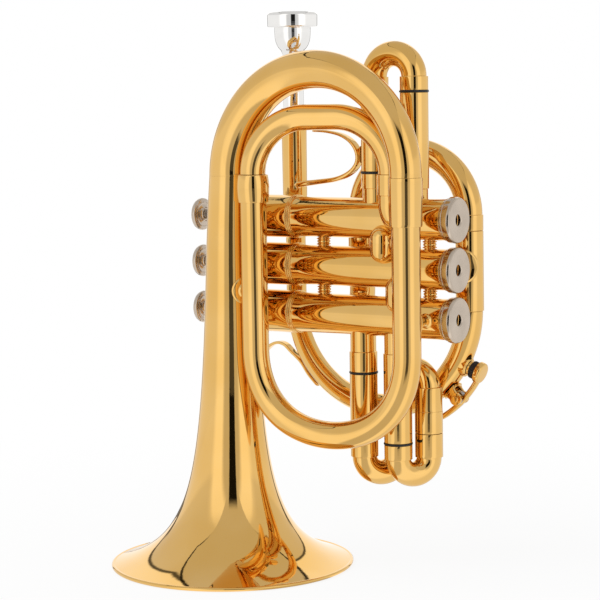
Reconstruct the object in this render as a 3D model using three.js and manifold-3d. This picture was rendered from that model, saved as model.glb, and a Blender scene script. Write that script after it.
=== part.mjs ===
// A pocket trumpet in millimetres, +Z up. The origin is the centre of the bell's mouth, on which it stands.
// The valves lie along X, one above the other; the player's left is -Y and the leadpipe is on the +Y side.
import * as THREE from "three";
import { mergeVertices } from "three/addons/utils/BufferGeometryUtils.js";
import Module from "manifold-3d";

const wasm = await Module();
wasm.setup();

// Clearance left between pieces that touch.
const GAP = 0.3;

// Valves: three casings on one plane, numbered from the top.
const VALVE_Y = 26;
const VALVE_TOP_Z = 176.5;
const VALVE_PITCH = 24.3;
const CASING_R = 10.05;
const CASING_UPPER_R = 10.85;
const CASING_BORE = 9.4;
const CASING_FROM = -1.7;
const CASING_TO = 112.5;
const CASING_JOINT = 26.3;
const VALVE_SIDES = 16;
const PISTON_R = 9;
const PISTON_FROM = 38;
const PISTON_TO = 101.4;
const BARREL_FROM = 8;
const STEM_R = 2.6;
const BUTTON_R = 8.4;
const BUTTON_FROM = -35.1;
const CAP_FACE = 119;
const CAP_R = 11.3;
const TOP_CAP_FROM = -14.5;
const valveZ = (number) => VALVE_TOP_Z - VALVE_PITCH * (number - 1);

// Tubes: outer and bore radii of plain tube, of a slide's outer leg and of the tube that runs in it.
const TUBE_R = 6.6;
const TUBE_BORE = 6;
const LEG_R = 7;
const LEG_BORE = 6.6;
const SLIDE_R = 6.25;
const SLIDE_BORE = 5.6;
const KNUCKLE_R = 6.5;
const KNUCKLE_BORE = 5.6;
const SIDES = 12;
const BORE_SIDES = 8;

// Bell: a flare from a rolled rim up to a tube at the height of the great bow. Its axis leans towards
// the valves, by so many millimetres for each millimetre of height.
const BELL_RIM_R = 61;
const BELL_TOP = 198;
const BELL_START = 1.6;
const FLARE_BASE = 7.6;
const FLARE_OFFSET = 14;
const FLARE_POWER = 1.01;
const BELL_LEAN = 0.0135;
const BELL_WALL = 0.7;
const BELL_SIDES = 32;

// Bell bow and tail: over the top, down beside the valves, round below and up again to valve 1.
const BOW_X = 104.1;
const BOW_CENTRE_Z = 198.9;
const BOW_START_R = 11.3;
const BOW_START_BORE = 10.6;
const BOW_END_R = 7.9;
const BOW_FERRULE = [174.7, 198];
const TAIL_LEG = new THREE.Vector2(22.4, -8.5);
const TAIL_R = [7.1, 6.5];
const TAIL_BORE = 5.7;
const TAIL_BOTTOM_Z = 71.6;
const TAIL_BULGE = 1.1;
const TAIL_UPPER_R = 6.3;
const TAIL_FERRULE = [185.4, 199];
const OUTLET = new THREE.Vector2(91, 9);
const UPPER_CORNER_R = 27.8;
const OUTLET_FERRULE = [189, 199];
const OUTLET_BEND_R = 8.5;
const OUTLET_R = 6.4;
const OUTLET_FERRULE_R = 6.9;

// Leadpipe loop on the far plane, with the main tuning slide at its top right.
const FAR_Y = 53;
const LEAD_X = 7.1;
const LOOP_X = 109.9;
const FRONT_BOW_Z = 129.6;
const FRONT_BOW_R = (LOOP_X - LEAD_X) / 2;
const LEADPIPE_R = [5.1, 5.3];
const LEADPIPE_TOP = 203;
const TUNING_X = 47.6;
const TUNING_GAP_Z = 169.6;
const TUNING_BOW_Z = 177.4;
const TUNING_LEG_END_Z = [146, 134];
const INLET_BEND_R = 9.5;
const RECEIVER = [184, 230.9];

// Slides of the three valves. Each is two legs on a bend. A seam is where a casing's short tube enters a
// leg's outer tube, a gap is where that tube ends and the slide's collar begins, and an end is that of an
// inner tube.
const FIRST_X = [72.2, 94.5];
const FIRST_GAP_Z = [199.2, 238.7];
const FIRST_BEND_Z = 245.9;
const FIRST_SEAM_Z = 191.4;
const FIRST_END_Z = [236, 200];
const SECOND_X = [66.5, 83.5];
const SECOND_GAP_Y = 52;
const SECOND_BEND_Y = 56;
const SECOND_SEAM_Y = 37.4;
const SECOND_END_Y = 38.6;
const THIRD_NEAR_X = [64, 83.6];
const THIRD_FAR = [new THREE.Vector2(76.2, 39.2), new THREE.Vector2(93.7, 39.2)];
const THIRD_SEAM_Z = 109.8;
const THIRD_NEAR_GAP_Z = [99.2, 64.7];
const THIRD_FAR_GAP_Z = 68.9;
const THIRD_NEAR_END_Z = [63, 102];
const THIRD_FAR_END_Z = 88.6;
const THIRD_BEND_Z = 56.8;
const THIRD_LINK_Z = 92;
const THIRD_LINK_R = 5.85;
const CROSSOVER_X = [80.4, 89];
const POST_X = [41.5, 102.5];

// Mouthpiece and the fittings for the fingers.
const MOUTHPIECE_TOP = 280.5;
const MOUTHPIECE_TIP = 207;
const THUMB_HOOK_WIDTH = 5.4;
const THUMB_HOOK_THICKNESS = [1.3, 3];
const PINKY_HOOK_WIDTH = 4.5;
const PINKY_HOOK_THICKNESS = 1.6;

// Braces: the height of each, the radii of its plate and post, and for two of them how far along X the
// post leans on its way to the casing.
const BELL_BRACE = { z: 141, plate: 6.8, post: 3.2 };
const LOOP_BRACE = { plate: 8.6, post: 3, lean: -2 };
const TAIL_BRACE = { plate: 5.8, post: 3, lean: 2 };

// Water key: places round the front bow in degrees, distances out from its centre line, and the
// distances along the nipple's own axis at which nipple, cork and cup begin and end.
const KEY_SEAT_ANGLE = -30.8;
const KEY_AXIS_ANGLE = -20;
const KEY_HINGE_ANGLE = -44.6;
const KEY_ARM_ANGLES = [-29.5, -58];
const KEY_HINGE_OUT = 12;
const KEY_ARM_OUT = 14;
const KEY_ARM_THICKNESS = 2.8;
const KEY_ARM_WIDTH = 3.2;
const KEY_WIDTH = 5;
const NIPPLE = [7.4, 8.6];
const CORK = [8.9, 13.1];
const CUP = [12.2, 15.3];
const CUP_FLOOR = 13.4;

const at = (x, y, z) => new THREE.Vector3(x, y, z);
const X = at(1, 0, 0);
const Y = at(0, 1, 0);
const Z = at(0, 0, 1);
const radians = THREE.MathUtils.degToRad;

// Turns a closed three.js geometry into a solid that can be joined and cut.
function solidOf(geometry) {
  const bare = geometry.clone();
  bare.deleteAttribute("normal");
  bare.deleteAttribute("uv");
  const merged = mergeVertices(bare, 1e-3);
  const corners = merged.index.array;
  const kept = [];
  for (let i = 0; i < corners.length; i += 3) {
    const [a, b, c] = [corners[i], corners[i + 1], corners[i + 2]];
    if (a !== b && b !== c && c !== a) kept.push(a, b, c);
  }
  return new wasm.Manifold(
    new wasm.Mesh({
      numProp: 3,
      vertProperties: merged.attributes.position.array,
      triVerts: new Uint32Array(kept),
    }),
  );
}

// A turned piece. The profile lists [radius, distance along the axis], up the outside and down the bore.
function turned(profile, axis = "z", origin = [0, 0, 0], segments = VALVE_SIDES) {
  const points = profile.map(([radius, along]) => new THREE.Vector2(radius, along));
  const geometry = new THREE.LatheGeometry(points, segments);
  if (axis !== "y") geometry.rotateX(Math.PI / 2);
  if (axis === "x") geometry.rotateY(Math.PI / 2);
  geometry.translate(...origin);
  return solidOf(geometry);
}

const rod = (radius, from, to, axis, origin, segments) =>
  turned([[0, from], [radius, from], [radius, to], [0, to]], axis, origin, segments);

const sleeve = (outer, bore, from, to, axis, origin, segments) =>
  turned([[bore, from], [outer, from], [outer, to], [bore, to], [bore, from]], axis, origin, segments);

function block(size, centre) {
  const geometry = new THREE.BoxGeometry(...size);
  geometry.translate(...centre);
  return solidOf(geometry);
}

// Legs of a route: a straight run and a bend, each with the number of steps it is made in.
const run = (from, to, steps = 1) => ({
  steps,
  point: (t) => from.clone().lerp(to, t),
  tangent: () => to.clone().sub(from).normalize(),
});

// A bulge b squares a bend: its radius at the angle v is the given radius plus b sin^2 2v.
function bend(centre, radius, first, second, degrees, steps, bulge = 0) {
  const [start, end] = degrees.map(radians);
  const turn = Math.sign(end - start);
  const mix = (a, b) => first.clone().multiplyScalar(a).addScaledVector(second, b);
  const polar = (t) => {
    const angle = start + (end - start) * t;
    return [
      Math.cos(angle), Math.sin(angle),
      radius + bulge * Math.sin(2 * angle) ** 2, 2 * bulge * Math.sin(4 * angle),
    ];
  };
  return {
    steps,
    point: (t) => {
      const [cos, sin, reach] = polar(t);
      return mix(reach * cos, reach * sin).add(centre);
    },
    tangent: (t) => {
      const [cos, sin, reach, growth] = polar(t);
      return mix(turn * (growth * cos - reach * sin), turn * (growth * sin + reach * cos)).normalize();
    },
  };
}

// A curve made of legs end to end, whose equal steps are shared out as each leg asks.
class Route extends THREE.Curve {
  constructor(...legs) {
    super();
    this.legs = legs;
    this.steps = legs.reduce((sum, leg) => sum + leg.steps, 0);
  }

  find(t) {
    let place = t * this.steps;
    for (const leg of this.legs) {
      if (place <= leg.steps + 1e-9) return [leg, place / leg.steps];
      place -= leg.steps;
    }
    return [this.legs.at(-1), 1];
  }

  getPoint(t) {
    const [leg, share] = this.find(t);
    return leg.point(share);
  }

  getPointAt(t) {
    return this.getPoint(t);
  }

  getTangentAt(t) {
    const [leg, share] = this.find(t);
    return leg.tangent(share);
  }
}

function ring(radius, sides) {
  const points = [];
  for (let i = 0; i < sides; i += 1) {
    const angle = (2 * Math.PI * i) / sides;
    points.push(new THREE.Vector2(radius * Math.cos(angle), radius * Math.sin(angle)));
  }
  return points;
}

function extruded(route, outer, bore, sides) {
  const section = new THREE.Shape(ring(outer, sides));
  if (bore) section.holes.push(new THREE.Path(ring(bore, BORE_SIDES)));
  return new THREE.ExtrudeGeometry(section, {
    steps: route.steps,
    bevelEnabled: false,
    extrudePath: route,
  });
}

// A hollow tube along a route; outer may be [radius at the start, radius at the end], and it tapers evenly.
function tube(route, outer = TUBE_R, bore = TUBE_BORE, sides = SIDES) {
  const [start, end] = [outer].flat().length === 2 ? outer : [outer, outer];
  const geometry = extruded(route, start, bore, sides);
  if (start !== end) {
    const centres = route.getSpacedPoints(route.steps);
    const lengths = centres.map((point, i) => (i ? point.distanceTo(centres[i - 1]) : 0));
    const total = lengths.reduce((sum, length) => sum + length, 0);
    let walked = 0;
    const shares = lengths.map((length) => (walked += length) / total);
    const vertex = new THREE.Vector3();
    const positions = geometry.attributes.position;
    for (let i = 0; i < positions.count; i += 1) {
      vertex.fromBufferAttribute(positions, i);
      const gaps = centres.map((centre) => centre.distanceToSquared(vertex));
      const nearest = gaps.indexOf(Math.min(...gaps));
      const scale = 1 + (end / start - 1) * shares[nearest];
      vertex.sub(centres[nearest]).multiplyScalar(scale).add(centres[nearest]);
      positions.setXYZ(i, vertex.x, vertex.y, vertex.z);
    }
  }
  return solidOf(geometry);
}

// A flat strip bent along a line of [x, z] points on a plane of constant y; its thickness may be
// [at the start, at the end].
function strip(points, thickness, width, y) {
  const [thin, thick] = Array.isArray(thickness) ? thickness : [thickness, thickness];
  const curve = new THREE.CatmullRomCurve3(points.map(([x, z]) => at(x, 0, z)));
  const steps = points.length * 2;
  const outline = [];
  const back = [];
  for (let i = 0; i <= steps; i += 1) {
    const point = curve.getPoint(i / steps);
    const tangent = curve.getTangent(i / steps);
    const half = THREE.MathUtils.lerp(thin, thick, i / steps) / 2;
    const side = new THREE.Vector2(-tangent.z, tangent.x).multiplyScalar(half);
    outline.push(new THREE.Vector2(point.x + side.x, point.z + side.y));
    back.unshift(new THREE.Vector2(point.x - side.x, point.z - side.y));
  }
  return plate([...outline, ...back], width, y);
}

// A plate parallel to the XZ plane, centred on y.
function plate(outline, width, y) {
  const geometry = new THREE.ExtrudeGeometry(new THREE.Shape(outline), {
    depth: width,
    bevelEnabled: false,
    curveSegments: 10,
  });
  geometry.rotateX(Math.PI / 2);
  geometry.translate(0, y + width / 2, 0);
  return solidOf(geometry);
}

const casingCut = (number) =>
  rod(CASING_R + GAP, CASING_FROM, CASING_TO, "x", [0, VALVE_Y, valveZ(number)]);

// Bell radius at a height: base + (rim - base) x ((start + offset) / (height + offset)) ^ power.
const flareAt = (z) => (BELL_RIM_R - FLARE_BASE) *
  ((BELL_START + FLARE_OFFSET) / (z + FLARE_OFFSET)) ** FLARE_POWER;
const bellRadius = (z) => FLARE_BASE + flareAt(z);

function bell() {
  const heights = [BELL_START, 4.5, 9, 16, 26, 40, 60, 90, 135, BELL_TOP];
  const outside = heights.map((z) => [bellRadius(z), z]);
  const inside = heights.map((z) => {
    const slope = (-FLARE_POWER * flareAt(z)) / (z + FLARE_OFFSET);
    const length = Math.hypot(1, slope);
    return [bellRadius(z) - BELL_WALL / length, z + (BELL_WALL * slope) / length];
  });
  inside[inside.length - 1][1] = BELL_TOP;
  const bead = [[60, 0.5], [60.4, 0], [61.2, 0], [61.8, 0.6], [61.8, 1.7]];
  const profile = [...bead, ...outside, ...inside.reverse(), bead[0]];
  const geometry = new THREE.LatheGeometry(profile.map((point) => new THREE.Vector2(...point)), BELL_SIDES);
  geometry.rotateX(Math.PI / 2).applyMatrix4(new THREE.Matrix4().makeShear(0, 0, 0, 0, BELL_LEAN, 0));
  return solidOf(geometry);
}

// The great bow, from the top of the leaning bell over to the ferrule on the right.
function bellBow() {
  const left = BELL_LEAN * BELL_TOP;
  const centre = at((left + BOW_X) / 2, 0, BOW_CENTRE_Z);
  const foot = BELL_TOP + GAP;
  return tube(
    new Route(
      run(at(left, 0, foot), at(left, 0, BOW_CENTRE_Z)),
      bend(centre, (BOW_X - left) / 2, X, Z, [180, 0], 12),
      run(at(BOW_X, 0, BOW_CENTRE_Z), at(BOW_X, 0, foot)),
    ),
    [BOW_START_R, BOW_END_R], BOW_START_BORE,
  );
}

const bowFerrule = () => turned(
  [
    [7.45, BOW_FERRULE[0]], [7.85, BOW_FERRULE[0]], [8.3, BOW_FERRULE[1]], [7.45, BOW_FERRULE[1]],
    [7.45, BOW_FERRULE[0]],
  ],
  "z", [BOW_X, 0, 0], SIDES,
);

// Down from the bow's ferrule, round below the valves and up beside the bell.
function tailLower() {
  const span = new THREE.Vector2(BOW_X, 0).sub(TAIL_LEG);
  const radius = span.length() / 2;
  const middle = TAIL_LEG.clone().addScaledVector(span, 0.5);
  const across = at(span.x, span.y, 0).normalize();
  const z = TAIL_BOTTOM_Z + radius;
  return tube(
    new Route(
      run(at(BOW_X, 0, BOW_FERRULE[1] - 8), at(BOW_X, 0, z)),
      bend(at(middle.x, middle.y, z), radius, across, Z, [0, -180], 12, TAIL_BULGE),
      run(at(TAIL_LEG.x, TAIL_LEG.y, z), at(TAIL_LEG.x, TAIL_LEG.y, TAIL_FERRULE[0] + 5)),
    ),
    TAIL_R, TAIL_BORE,
  );
}

// A barrel-shaped ferrule that the lower tail enters from below.
function tailFerrule() {
  const [low, high] = TAIL_FERRULE;
  return turned(
    [[7.05, low], [7.4, low], [8, low + 3.2], [8, high - 3.4], [7.4, high], [7.05, high], [7.05, low]],
    "z", [TAIL_LEG.x, TAIL_LEG.y, 0], SIDES,
  );
}

// Up from the left ferrule, across with rounded corners, and down on the right to the outlet's ferrule.
function tailUpper() {
  const span = OUTLET.clone().sub(TAIL_LEG);
  const across = at(span.x, span.y, 0).normalize();
  const z = TAIL_FERRULE[1] + GAP;
  const left = at(TAIL_LEG.x, TAIL_LEG.y, z).addScaledVector(across, UPPER_CORNER_R);
  const right = at(OUTLET.x, OUTLET.y, z).addScaledVector(across, -UPPER_CORNER_R);
  const rise = Z.clone().multiplyScalar(UPPER_CORNER_R);
  return tube(
    new Route(
      bend(left, UPPER_CORNER_R, across, Z, [180, 90], 5),
      run(left.clone().add(rise), right.clone().add(rise)),
      bend(right, UPPER_CORNER_R, across, Z, [90, 0], 5),
    ),
    TAIL_UPPER_R, KNUCKLE_BORE,
  );
}

function outletElbow() {
  const z = valveZ(1);
  const centre = at(OUTLET.x, OUTLET.y + OUTLET_BEND_R, z + OUTLET_BEND_R);
  const elbow = tube(
    new Route(
      run(at(OUTLET.x, OUTLET.y, OUTLET_FERRULE[1] - 4), at(OUTLET.x, OUTLET.y, centre.z)),
      bend(centre, OUTLET_BEND_R, Y, Z, [180, 270], 4),
      run(at(OUTLET.x, centre.y, z), at(OUTLET.x, VALVE_Y - 4, z)),
    ),
    OUTLET_R, KNUCKLE_BORE,
  );
  const origin = [OUTLET.x, OUTLET.y, 0];
  const ferrule = sleeve(OUTLET_FERRULE_R, OUTLET_R - 0.2, ...OUTLET_FERRULE, "z", origin, SIDES);
  return elbow.add(ferrule).subtract(casingCut(1));
}

// Port directions on each casing: [x, direction] of every tube that opens into it.
const ports = [
  [[FIRST_X[0], Z], [FIRST_X[1], Z], [OUTLET.x, Y, -1], [CROSSOVER_X[0], Z, -1]],
  [[CROSSOVER_X[0], Z], [CROSSOVER_X[1], Z, -1], [SECOND_X[0], Y], [SECOND_X[1], Y]],
  [[CROSSOVER_X[1], Z], [TUNING_X, Y], [THIRD_NEAR_X[0], Z, -1], [THIRD_NEAR_X[1], Z, -1]],
];

function casing(number) {
  const profile = [
    [CASING_BORE, CASING_FROM], [CASING_UPPER_R, CASING_FROM], [CASING_UPPER_R, CASING_JOINT - 1.5],
    [CASING_UPPER_R - 0.4, CASING_JOINT - 1.2], [CASING_UPPER_R + 0.1, CASING_JOINT - 0.6],
    [CASING_UPPER_R - 0.4, CASING_JOINT], [CASING_UPPER_R, CASING_JOINT + 0.6], [CASING_R, CASING_JOINT + 1],
    [CASING_R, CASING_TO], [CASING_BORE, CASING_TO], [CASING_BORE, CASING_FROM],
  ];
  const origin = [0, VALVE_Y, valveZ(number)];
  return ports[number - 1].reduce((body, [x, direction, sign = 1]) => {
    const axis = direction === Y ? "y" : "z";
    const reach = sign > 0 ? [2, CASING_R + 2] : [-CASING_R - 2, -2];
    return body.subtract(rod(4.6, ...reach, axis, [x, origin[1], origin[2]], 8));
  }, turned(profile, "x", origin));
}

const topCap = (number) => turned(
  [
    [3.1, TOP_CAP_FROM], [9.3, TOP_CAP_FROM], [CAP_R, TOP_CAP_FROM + 2.6], [CAP_R, -2], [9.7, -2],
    [9.7, -8], [3.1, -8], [3.1, TOP_CAP_FROM],
  ],
  "x", [0, VALVE_Y, valveZ(number)],
);

const bottomCap = (number) => turned(
  [
    [9.7, 112.8], [10.4, 112.8], [10.4, 114.2], [CAP_R, 114.6], [CAP_R, 118], [10.7, CAP_FACE],
    [2.6, CAP_FACE], [2.6, 117.6], [9.7, 117.6], [9.7, 112.8],
  ],
  "x", [0, VALVE_Y, valveZ(number)],
);

// A hollow piston with its ports; the open spring barrel above it is slotted for the guide.
function piston(number) {
  const origin = [0, VALVE_Y, valveZ(number)];
  const body = turned(
    [
      [8, BARREL_FROM], [PISTON_R, BARREL_FROM], [PISTON_R, PISTON_TO], [7.9, PISTON_TO],
      [7.9, PISTON_FROM + 2], [0, PISTON_FROM + 2], [0, PISTON_FROM], [8, PISTON_FROM],
      [8, BARREL_FROM],
    ],
    "x", origin,
  );
  const slot = block([19, 3.2, 20], [BARREL_FROM + 18, VALVE_Y, origin[2]]);
  return ports[number - 1].reduce((left, [x, direction, sign = 1]) => {
    const axis = direction === Y ? "y" : "z";
    const reach = sign > 0 ? [2, PISTON_R + 2] : [-PISTON_R - 2, -2];
    return left.subtract(rod(4.2, ...reach, axis, [x, origin[1], origin[2]], 8));
  }, body.subtract(slot));
}

const stem = (number) => turned(
  [
    [0, BUTTON_FROM + 4.2], [STEM_R, BUTTON_FROM + 4.2], [STEM_R, BARREL_FROM - 4],
    [7.6, BARREL_FROM - 3], [7.6, BARREL_FROM - GAP], [0, BARREL_FROM - GAP],
  ],
  "x", [0, VALVE_Y, valveZ(number)], 12,
);

// A finger button, dished on both faces; its hub stands on the stem.
const button = (number) => turned(
  [
    [0, BUTTON_FROM + 0.9], [5.8, BUTTON_FROM + 0.7], [7.2, BUTTON_FROM], [BUTTON_R, BUTTON_FROM + 1.4],
    [8, BUTTON_FROM + 2.9], [6.6, BUTTON_FROM + 3.5], [5.9, BUTTON_FROM + 2.9],
    [3.4, BUTTON_FROM + 3.2], [0, BUTTON_FROM + 3.9],
  ],
  "x", [0, VALVE_Y, valveZ(number)],
);

// The spring in the barrel: a helix of wire about the valve's axis.
class Helix extends THREE.Curve {
  constructor(radius, from, to, turns, origin) {
    super();
    Object.assign(this, { radius, from, to, turns, origin });
  }

  getPoint(t) {
    const angle = 2 * Math.PI * this.turns * t;
    return at(
      this.from + (this.to - this.from) * t,
      this.radius * Math.cos(angle),
      this.radius * Math.sin(angle),
    ).add(this.origin);
  }
}

function valveSpring(number) {
  const turns = 5;
  const helix = new Helix(5.6, BARREL_FROM + 2, PISTON_FROM - 2, turns, at(0, VALVE_Y, valveZ(number)));
  helix.steps = turns * 8;
  return solidOf(extruded(helix, 0.6, 0, 3));
}

// A crossover between two casings: a blunt bulb on the near side, open into both.
function crossover(upper) {
  const x = CROSSOVER_X[upper - 1];
  const z = valveZ(upper) - VALVE_PITCH / 2;
  const y = VALVE_Y - 9;
  const outer = new THREE.CapsuleGeometry(5.7, 6.6, 4, 12).rotateX(Math.PI / 2).translate(x, y, z);
  const inner = new THREE.CapsuleGeometry(5, 6.2, 3, 10).rotateX(Math.PI / 2).translate(x, y + 0.4, z);
  return solidOf(outer)
    .subtract(solidOf(inner))
    .subtract(block([20, 12, 30], [x, y + 9.4, z]))
    .subtract(casingCut(upper))
    .subtract(casingCut(upper + 1));
}

// A turned post soldered between two neighbouring casings.
function casingPost(upper, x) {
  const z = valveZ(upper) - VALVE_PITCH / 2;
  const half = [[4.1, 4.4], [4.1, 2.6], [2.9, 1.7], [3.6, 0.7]];
  const mirrored = half.map(([radius, height]) => [radius, -height]);
  const profile = [[0, -4.4], ...mirrored, ...half.reverse(), [0, 4.4]];
  return turned(profile, "z", [x, VALVE_Y, z], 8)
    .subtract(casingCut(upper))
    .subtract(casingCut(upper + 1));
}

const receiver = () => turned(
  [
    [5.75, RECEIVER[0]], [6.4, RECEIVER[0]], [6.7, RECEIVER[1] - 1], [6.5, RECEIVER[1]],
    [6, RECEIVER[1]], [5.75, RECEIVER[0]],
  ],
  "z", [LEAD_X, FAR_Y, 0],
);

const leadpipe = () => tube(
  new Route(run(at(LEAD_X, FAR_Y, LEADPIPE_TOP), at(LEAD_X, FAR_Y, FRONT_BOW_Z + GAP))),
  LEADPIPE_R, 4.2,
);

const loopCentre = at((LEAD_X + LOOP_X) / 2, FAR_Y, FRONT_BOW_Z);
const loopPoint = (radius, degrees) => at(
  loopCentre.x + radius * Math.cos(radians(degrees)),
  FAR_Y,
  loopCentre.z + radius * Math.sin(radians(degrees)),
);

const bowRoute = () => new Route(bend(loopCentre, FRONT_BOW_R, X, Z, [180, 360], 13));

// The front bow as a solid bar, larger than the tube by an allowance, for cutting what lies on it.
const bowBar = (extra) => tube(bowRoute(), [LEADPIPE_R[1] + extra, TUBE_R + extra], 0);

// A rod along the axis of the water key's nipple, between two distances from the bow's centre line.
function keyRod(radius, from, to, sides = 14) {
  const seat = loopPoint(FRONT_BOW_R, KEY_SEAT_ANGLE);
  const angle = radians(KEY_AXIS_ANGLE);
  const out = at(Math.cos(angle), 0, Math.sin(angle));
  const place = (distance) => seat.clone().addScaledVector(out, distance);
  return tube(new Route(run(place(from), place(to))), radius, 0, sides);
}

// The front bow, with the water key's nipple standing on its outside.
function frontBow() {
  const nipple = keyRod(4.6, 3, NIPPLE[0]).add(keyRod(3.6, 3, NIPPLE[1])).subtract(bowBar(-0.5));
  return tube(bowRoute(), [LEADPIPE_R[1], TUBE_R], 4.4).add(nipple).subtract(keyRod(2, 1, 12, 8));
}

// The loop's right leg: the outer tube of the main tuning slide.
const loopLeg = () => turned(
  [
    [LEG_BORE, FRONT_BOW_Z + 0.5], [LEG_R + 0.1, FRONT_BOW_Z + 0.5], [LEG_R, TUNING_GAP_Z - GAP],
    [LEG_BORE, TUNING_GAP_Z - GAP], [LEG_BORE, FRONT_BOW_Z + 0.5],
  ],
  "z", [LOOP_X, FAR_Y, 0], SIDES,
);

// The tuning slide's left leg, bent into the far side of valve 3.
function inletLeg() {
  const z = valveZ(3);
  const centre = at(TUNING_X, FAR_Y - INLET_BEND_R, z + INLET_BEND_R);
  const top = TUNING_GAP_Z - GAP;
  const elbow = tube(
    new Route(
      run(at(TUNING_X, FAR_Y, centre.z + 6), at(TUNING_X, FAR_Y, centre.z)),
      bend(centre, INLET_BEND_R, Y, Z, [0, -90], 5),
      run(at(TUNING_X, centre.y, z), at(TUNING_X, VALVE_Y + 4, z)),
    ),
    TUBE_R, KNUCKLE_BORE,
  );
  const leg = sleeve(LEG_R, LEG_BORE, centre.z + 2, top, "z", [TUNING_X, FAR_Y, 0], SIDES);
  const seat = sleeve(LEG_R, KNUCKLE_BORE, centre.z + 2, centre.z + 5, "z", [TUNING_X, FAR_Y, 0], SIDES);
  return elbow.subtract(rod(LEG_BORE, centre.z + 5, top, "z", [TUNING_X, FAR_Y, 0], SIDES))
    .add(leg)
    .add(seat)
    .subtract(casingCut(3));
}

// A slide's bend: half a turn of the inner tube, out and back on a plane that holds both its legs.
function slideBend(centre, radius, across, out) {
  return tube(new Route(bend(centre, radius, across, out, [180, 0], 8)), SLIDE_R, SLIDE_BORE);
}

function tuningSlide() {
  const radius = (LOOP_X - TUNING_X) / 2;
  const centre = at(TUNING_X + radius, FAR_Y, TUNING_BOW_Z);
  const bow = tube(new Route(bend(centre, radius, X, Z, [180, 0], 11)), TUBE_R, SLIDE_BORE);
  return [TUNING_X, LOOP_X].reduce((whole, x, side) => {
    const origin = [x, FAR_Y, 0];
    const inside = TUNING_LEG_END_Z[side];
    return whole
      .add(sleeve(LEG_R, SLIDE_BORE, TUNING_GAP_Z + GAP, TUNING_BOW_Z + 0.2, "z", origin, SIDES))
      .add(sleeve(SLIDE_R, SLIDE_BORE, inside, TUNING_GAP_Z + 1, "z", origin, SIDES));
  }, bow);
}

// First valve slide: its left leg is a long sleeve over a fixed tube, its right leg runs inside one.
function firstSlideLeg(side) {
  const gap = FIRST_GAP_Z[side] - GAP;
  const from = valveZ(1) + CASING_R / 2;
  const seam = FIRST_SEAM_Z;
  const end = FIRST_END_Z[0];
  const bore = KNUCKLE_BORE;
  const profile = side === 0
    ? [[bore, from], [KNUCKLE_R, from], [KNUCKLE_R, seam], [LEG_R, seam], [LEG_R, gap],
      [SLIDE_R, gap], [SLIDE_R, end], [bore, end], [bore, from]]
    : [[bore, from], [KNUCKLE_R, from], [KNUCKLE_R, seam], [LEG_R, seam], [LEG_R, gap],
      [LEG_BORE, gap], [LEG_BORE, seam + 4], [bore, seam + 4], [bore, from]];
  return turned(profile, "z", [FIRST_X[side], VALVE_Y, 0], SIDES).subtract(casingCut(1));
}

function firstSlide() {
  const radius = (FIRST_X[1] - FIRST_X[0]) / 2;
  const centre = at(FIRST_X[0] + radius, VALVE_Y, FIRST_BEND_Z);
  const top = FIRST_BEND_Z + 0.2;
  const right = [FIRST_X[1], VALVE_Y, 0];
  return slideBend(centre, radius, X, Z)
    .add(sleeve(LEG_R, LEG_BORE, FIRST_GAP_Z[0] + GAP, top - 4, "z", [FIRST_X[0], VALVE_Y, 0], SIDES))
    .add(sleeve(LEG_R, SLIDE_BORE, top - 4.5, top, "z", [FIRST_X[0], VALVE_Y, 0], SIDES))
    .add(sleeve(LEG_R, SLIDE_BORE, FIRST_GAP_Z[1] + GAP, top, "z", right, SIDES))
    .add(sleeve(SLIDE_R, SLIDE_BORE, FIRST_END_Z[1], FIRST_GAP_Z[1] + 1, "z", right, SIDES));
}

// The thumb hook on the first slide's left leg, open towards the player.
function thumbHook() {
  const band = strip(
    [[36, 219.8], [45, 219.3], [53.5, 217.4], [59.6, 213.6], [62.6, 208.4], [62.1, 203.3], [57.8, 198.9],
      [50, 195.7], [38, 194], [28, 192.7], [25.6, 191.2]],
    THUMB_HOOK_THICKNESS, THUMB_HOOK_WIDTH, VALVE_Y,
  );
  const foot = block([5, 4.4, 8.4], [64, VALVE_Y, 208]);
  const leg = rod(LEG_R + GAP, 190, 230, "z", [FIRST_X[0], VALVE_Y, 0], SIDES);
  return band.add(foot).subtract(leg);
}

// Second valve slide: a short one behind valve 2.
function secondSlideLeg(side) {
  const from = VALVE_Y + CASING_R / 2;
  const gap = SECOND_GAP_Y - GAP;
  const profile = [
    [KNUCKLE_BORE, from], [KNUCKLE_R, from], [KNUCKLE_R, SECOND_SEAM_Y], [LEG_R, SECOND_SEAM_Y],
    [LEG_R, gap], [LEG_BORE, gap], [LEG_BORE, SECOND_SEAM_Y + 0.6], [KNUCKLE_BORE, SECOND_SEAM_Y + 0.6],
    [KNUCKLE_BORE, from],
  ];
  return turned(profile, "y", [SECOND_X[side], 0, valveZ(2)], SIDES).subtract(casingCut(2));
}

function secondSlide() {
  const radius = (SECOND_X[1] - SECOND_X[0]) / 2;
  const centre = at(SECOND_X[0] + radius, SECOND_BEND_Y, valveZ(2));
  return SECOND_X.reduce((whole, x) => {
    const origin = [x, 0, valveZ(2)];
    return whole
      .add(sleeve(LEG_R, SLIDE_BORE, SECOND_GAP_Y + GAP, SECOND_BEND_Y + 0.2, "y", origin, SIDES))
      .add(sleeve(SLIDE_R, SLIDE_BORE, SECOND_END_Y, SECOND_GAP_Y + 1, "y", origin, SIDES));
  }, slideBend(centre, radius, X, Y));
}

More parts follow.
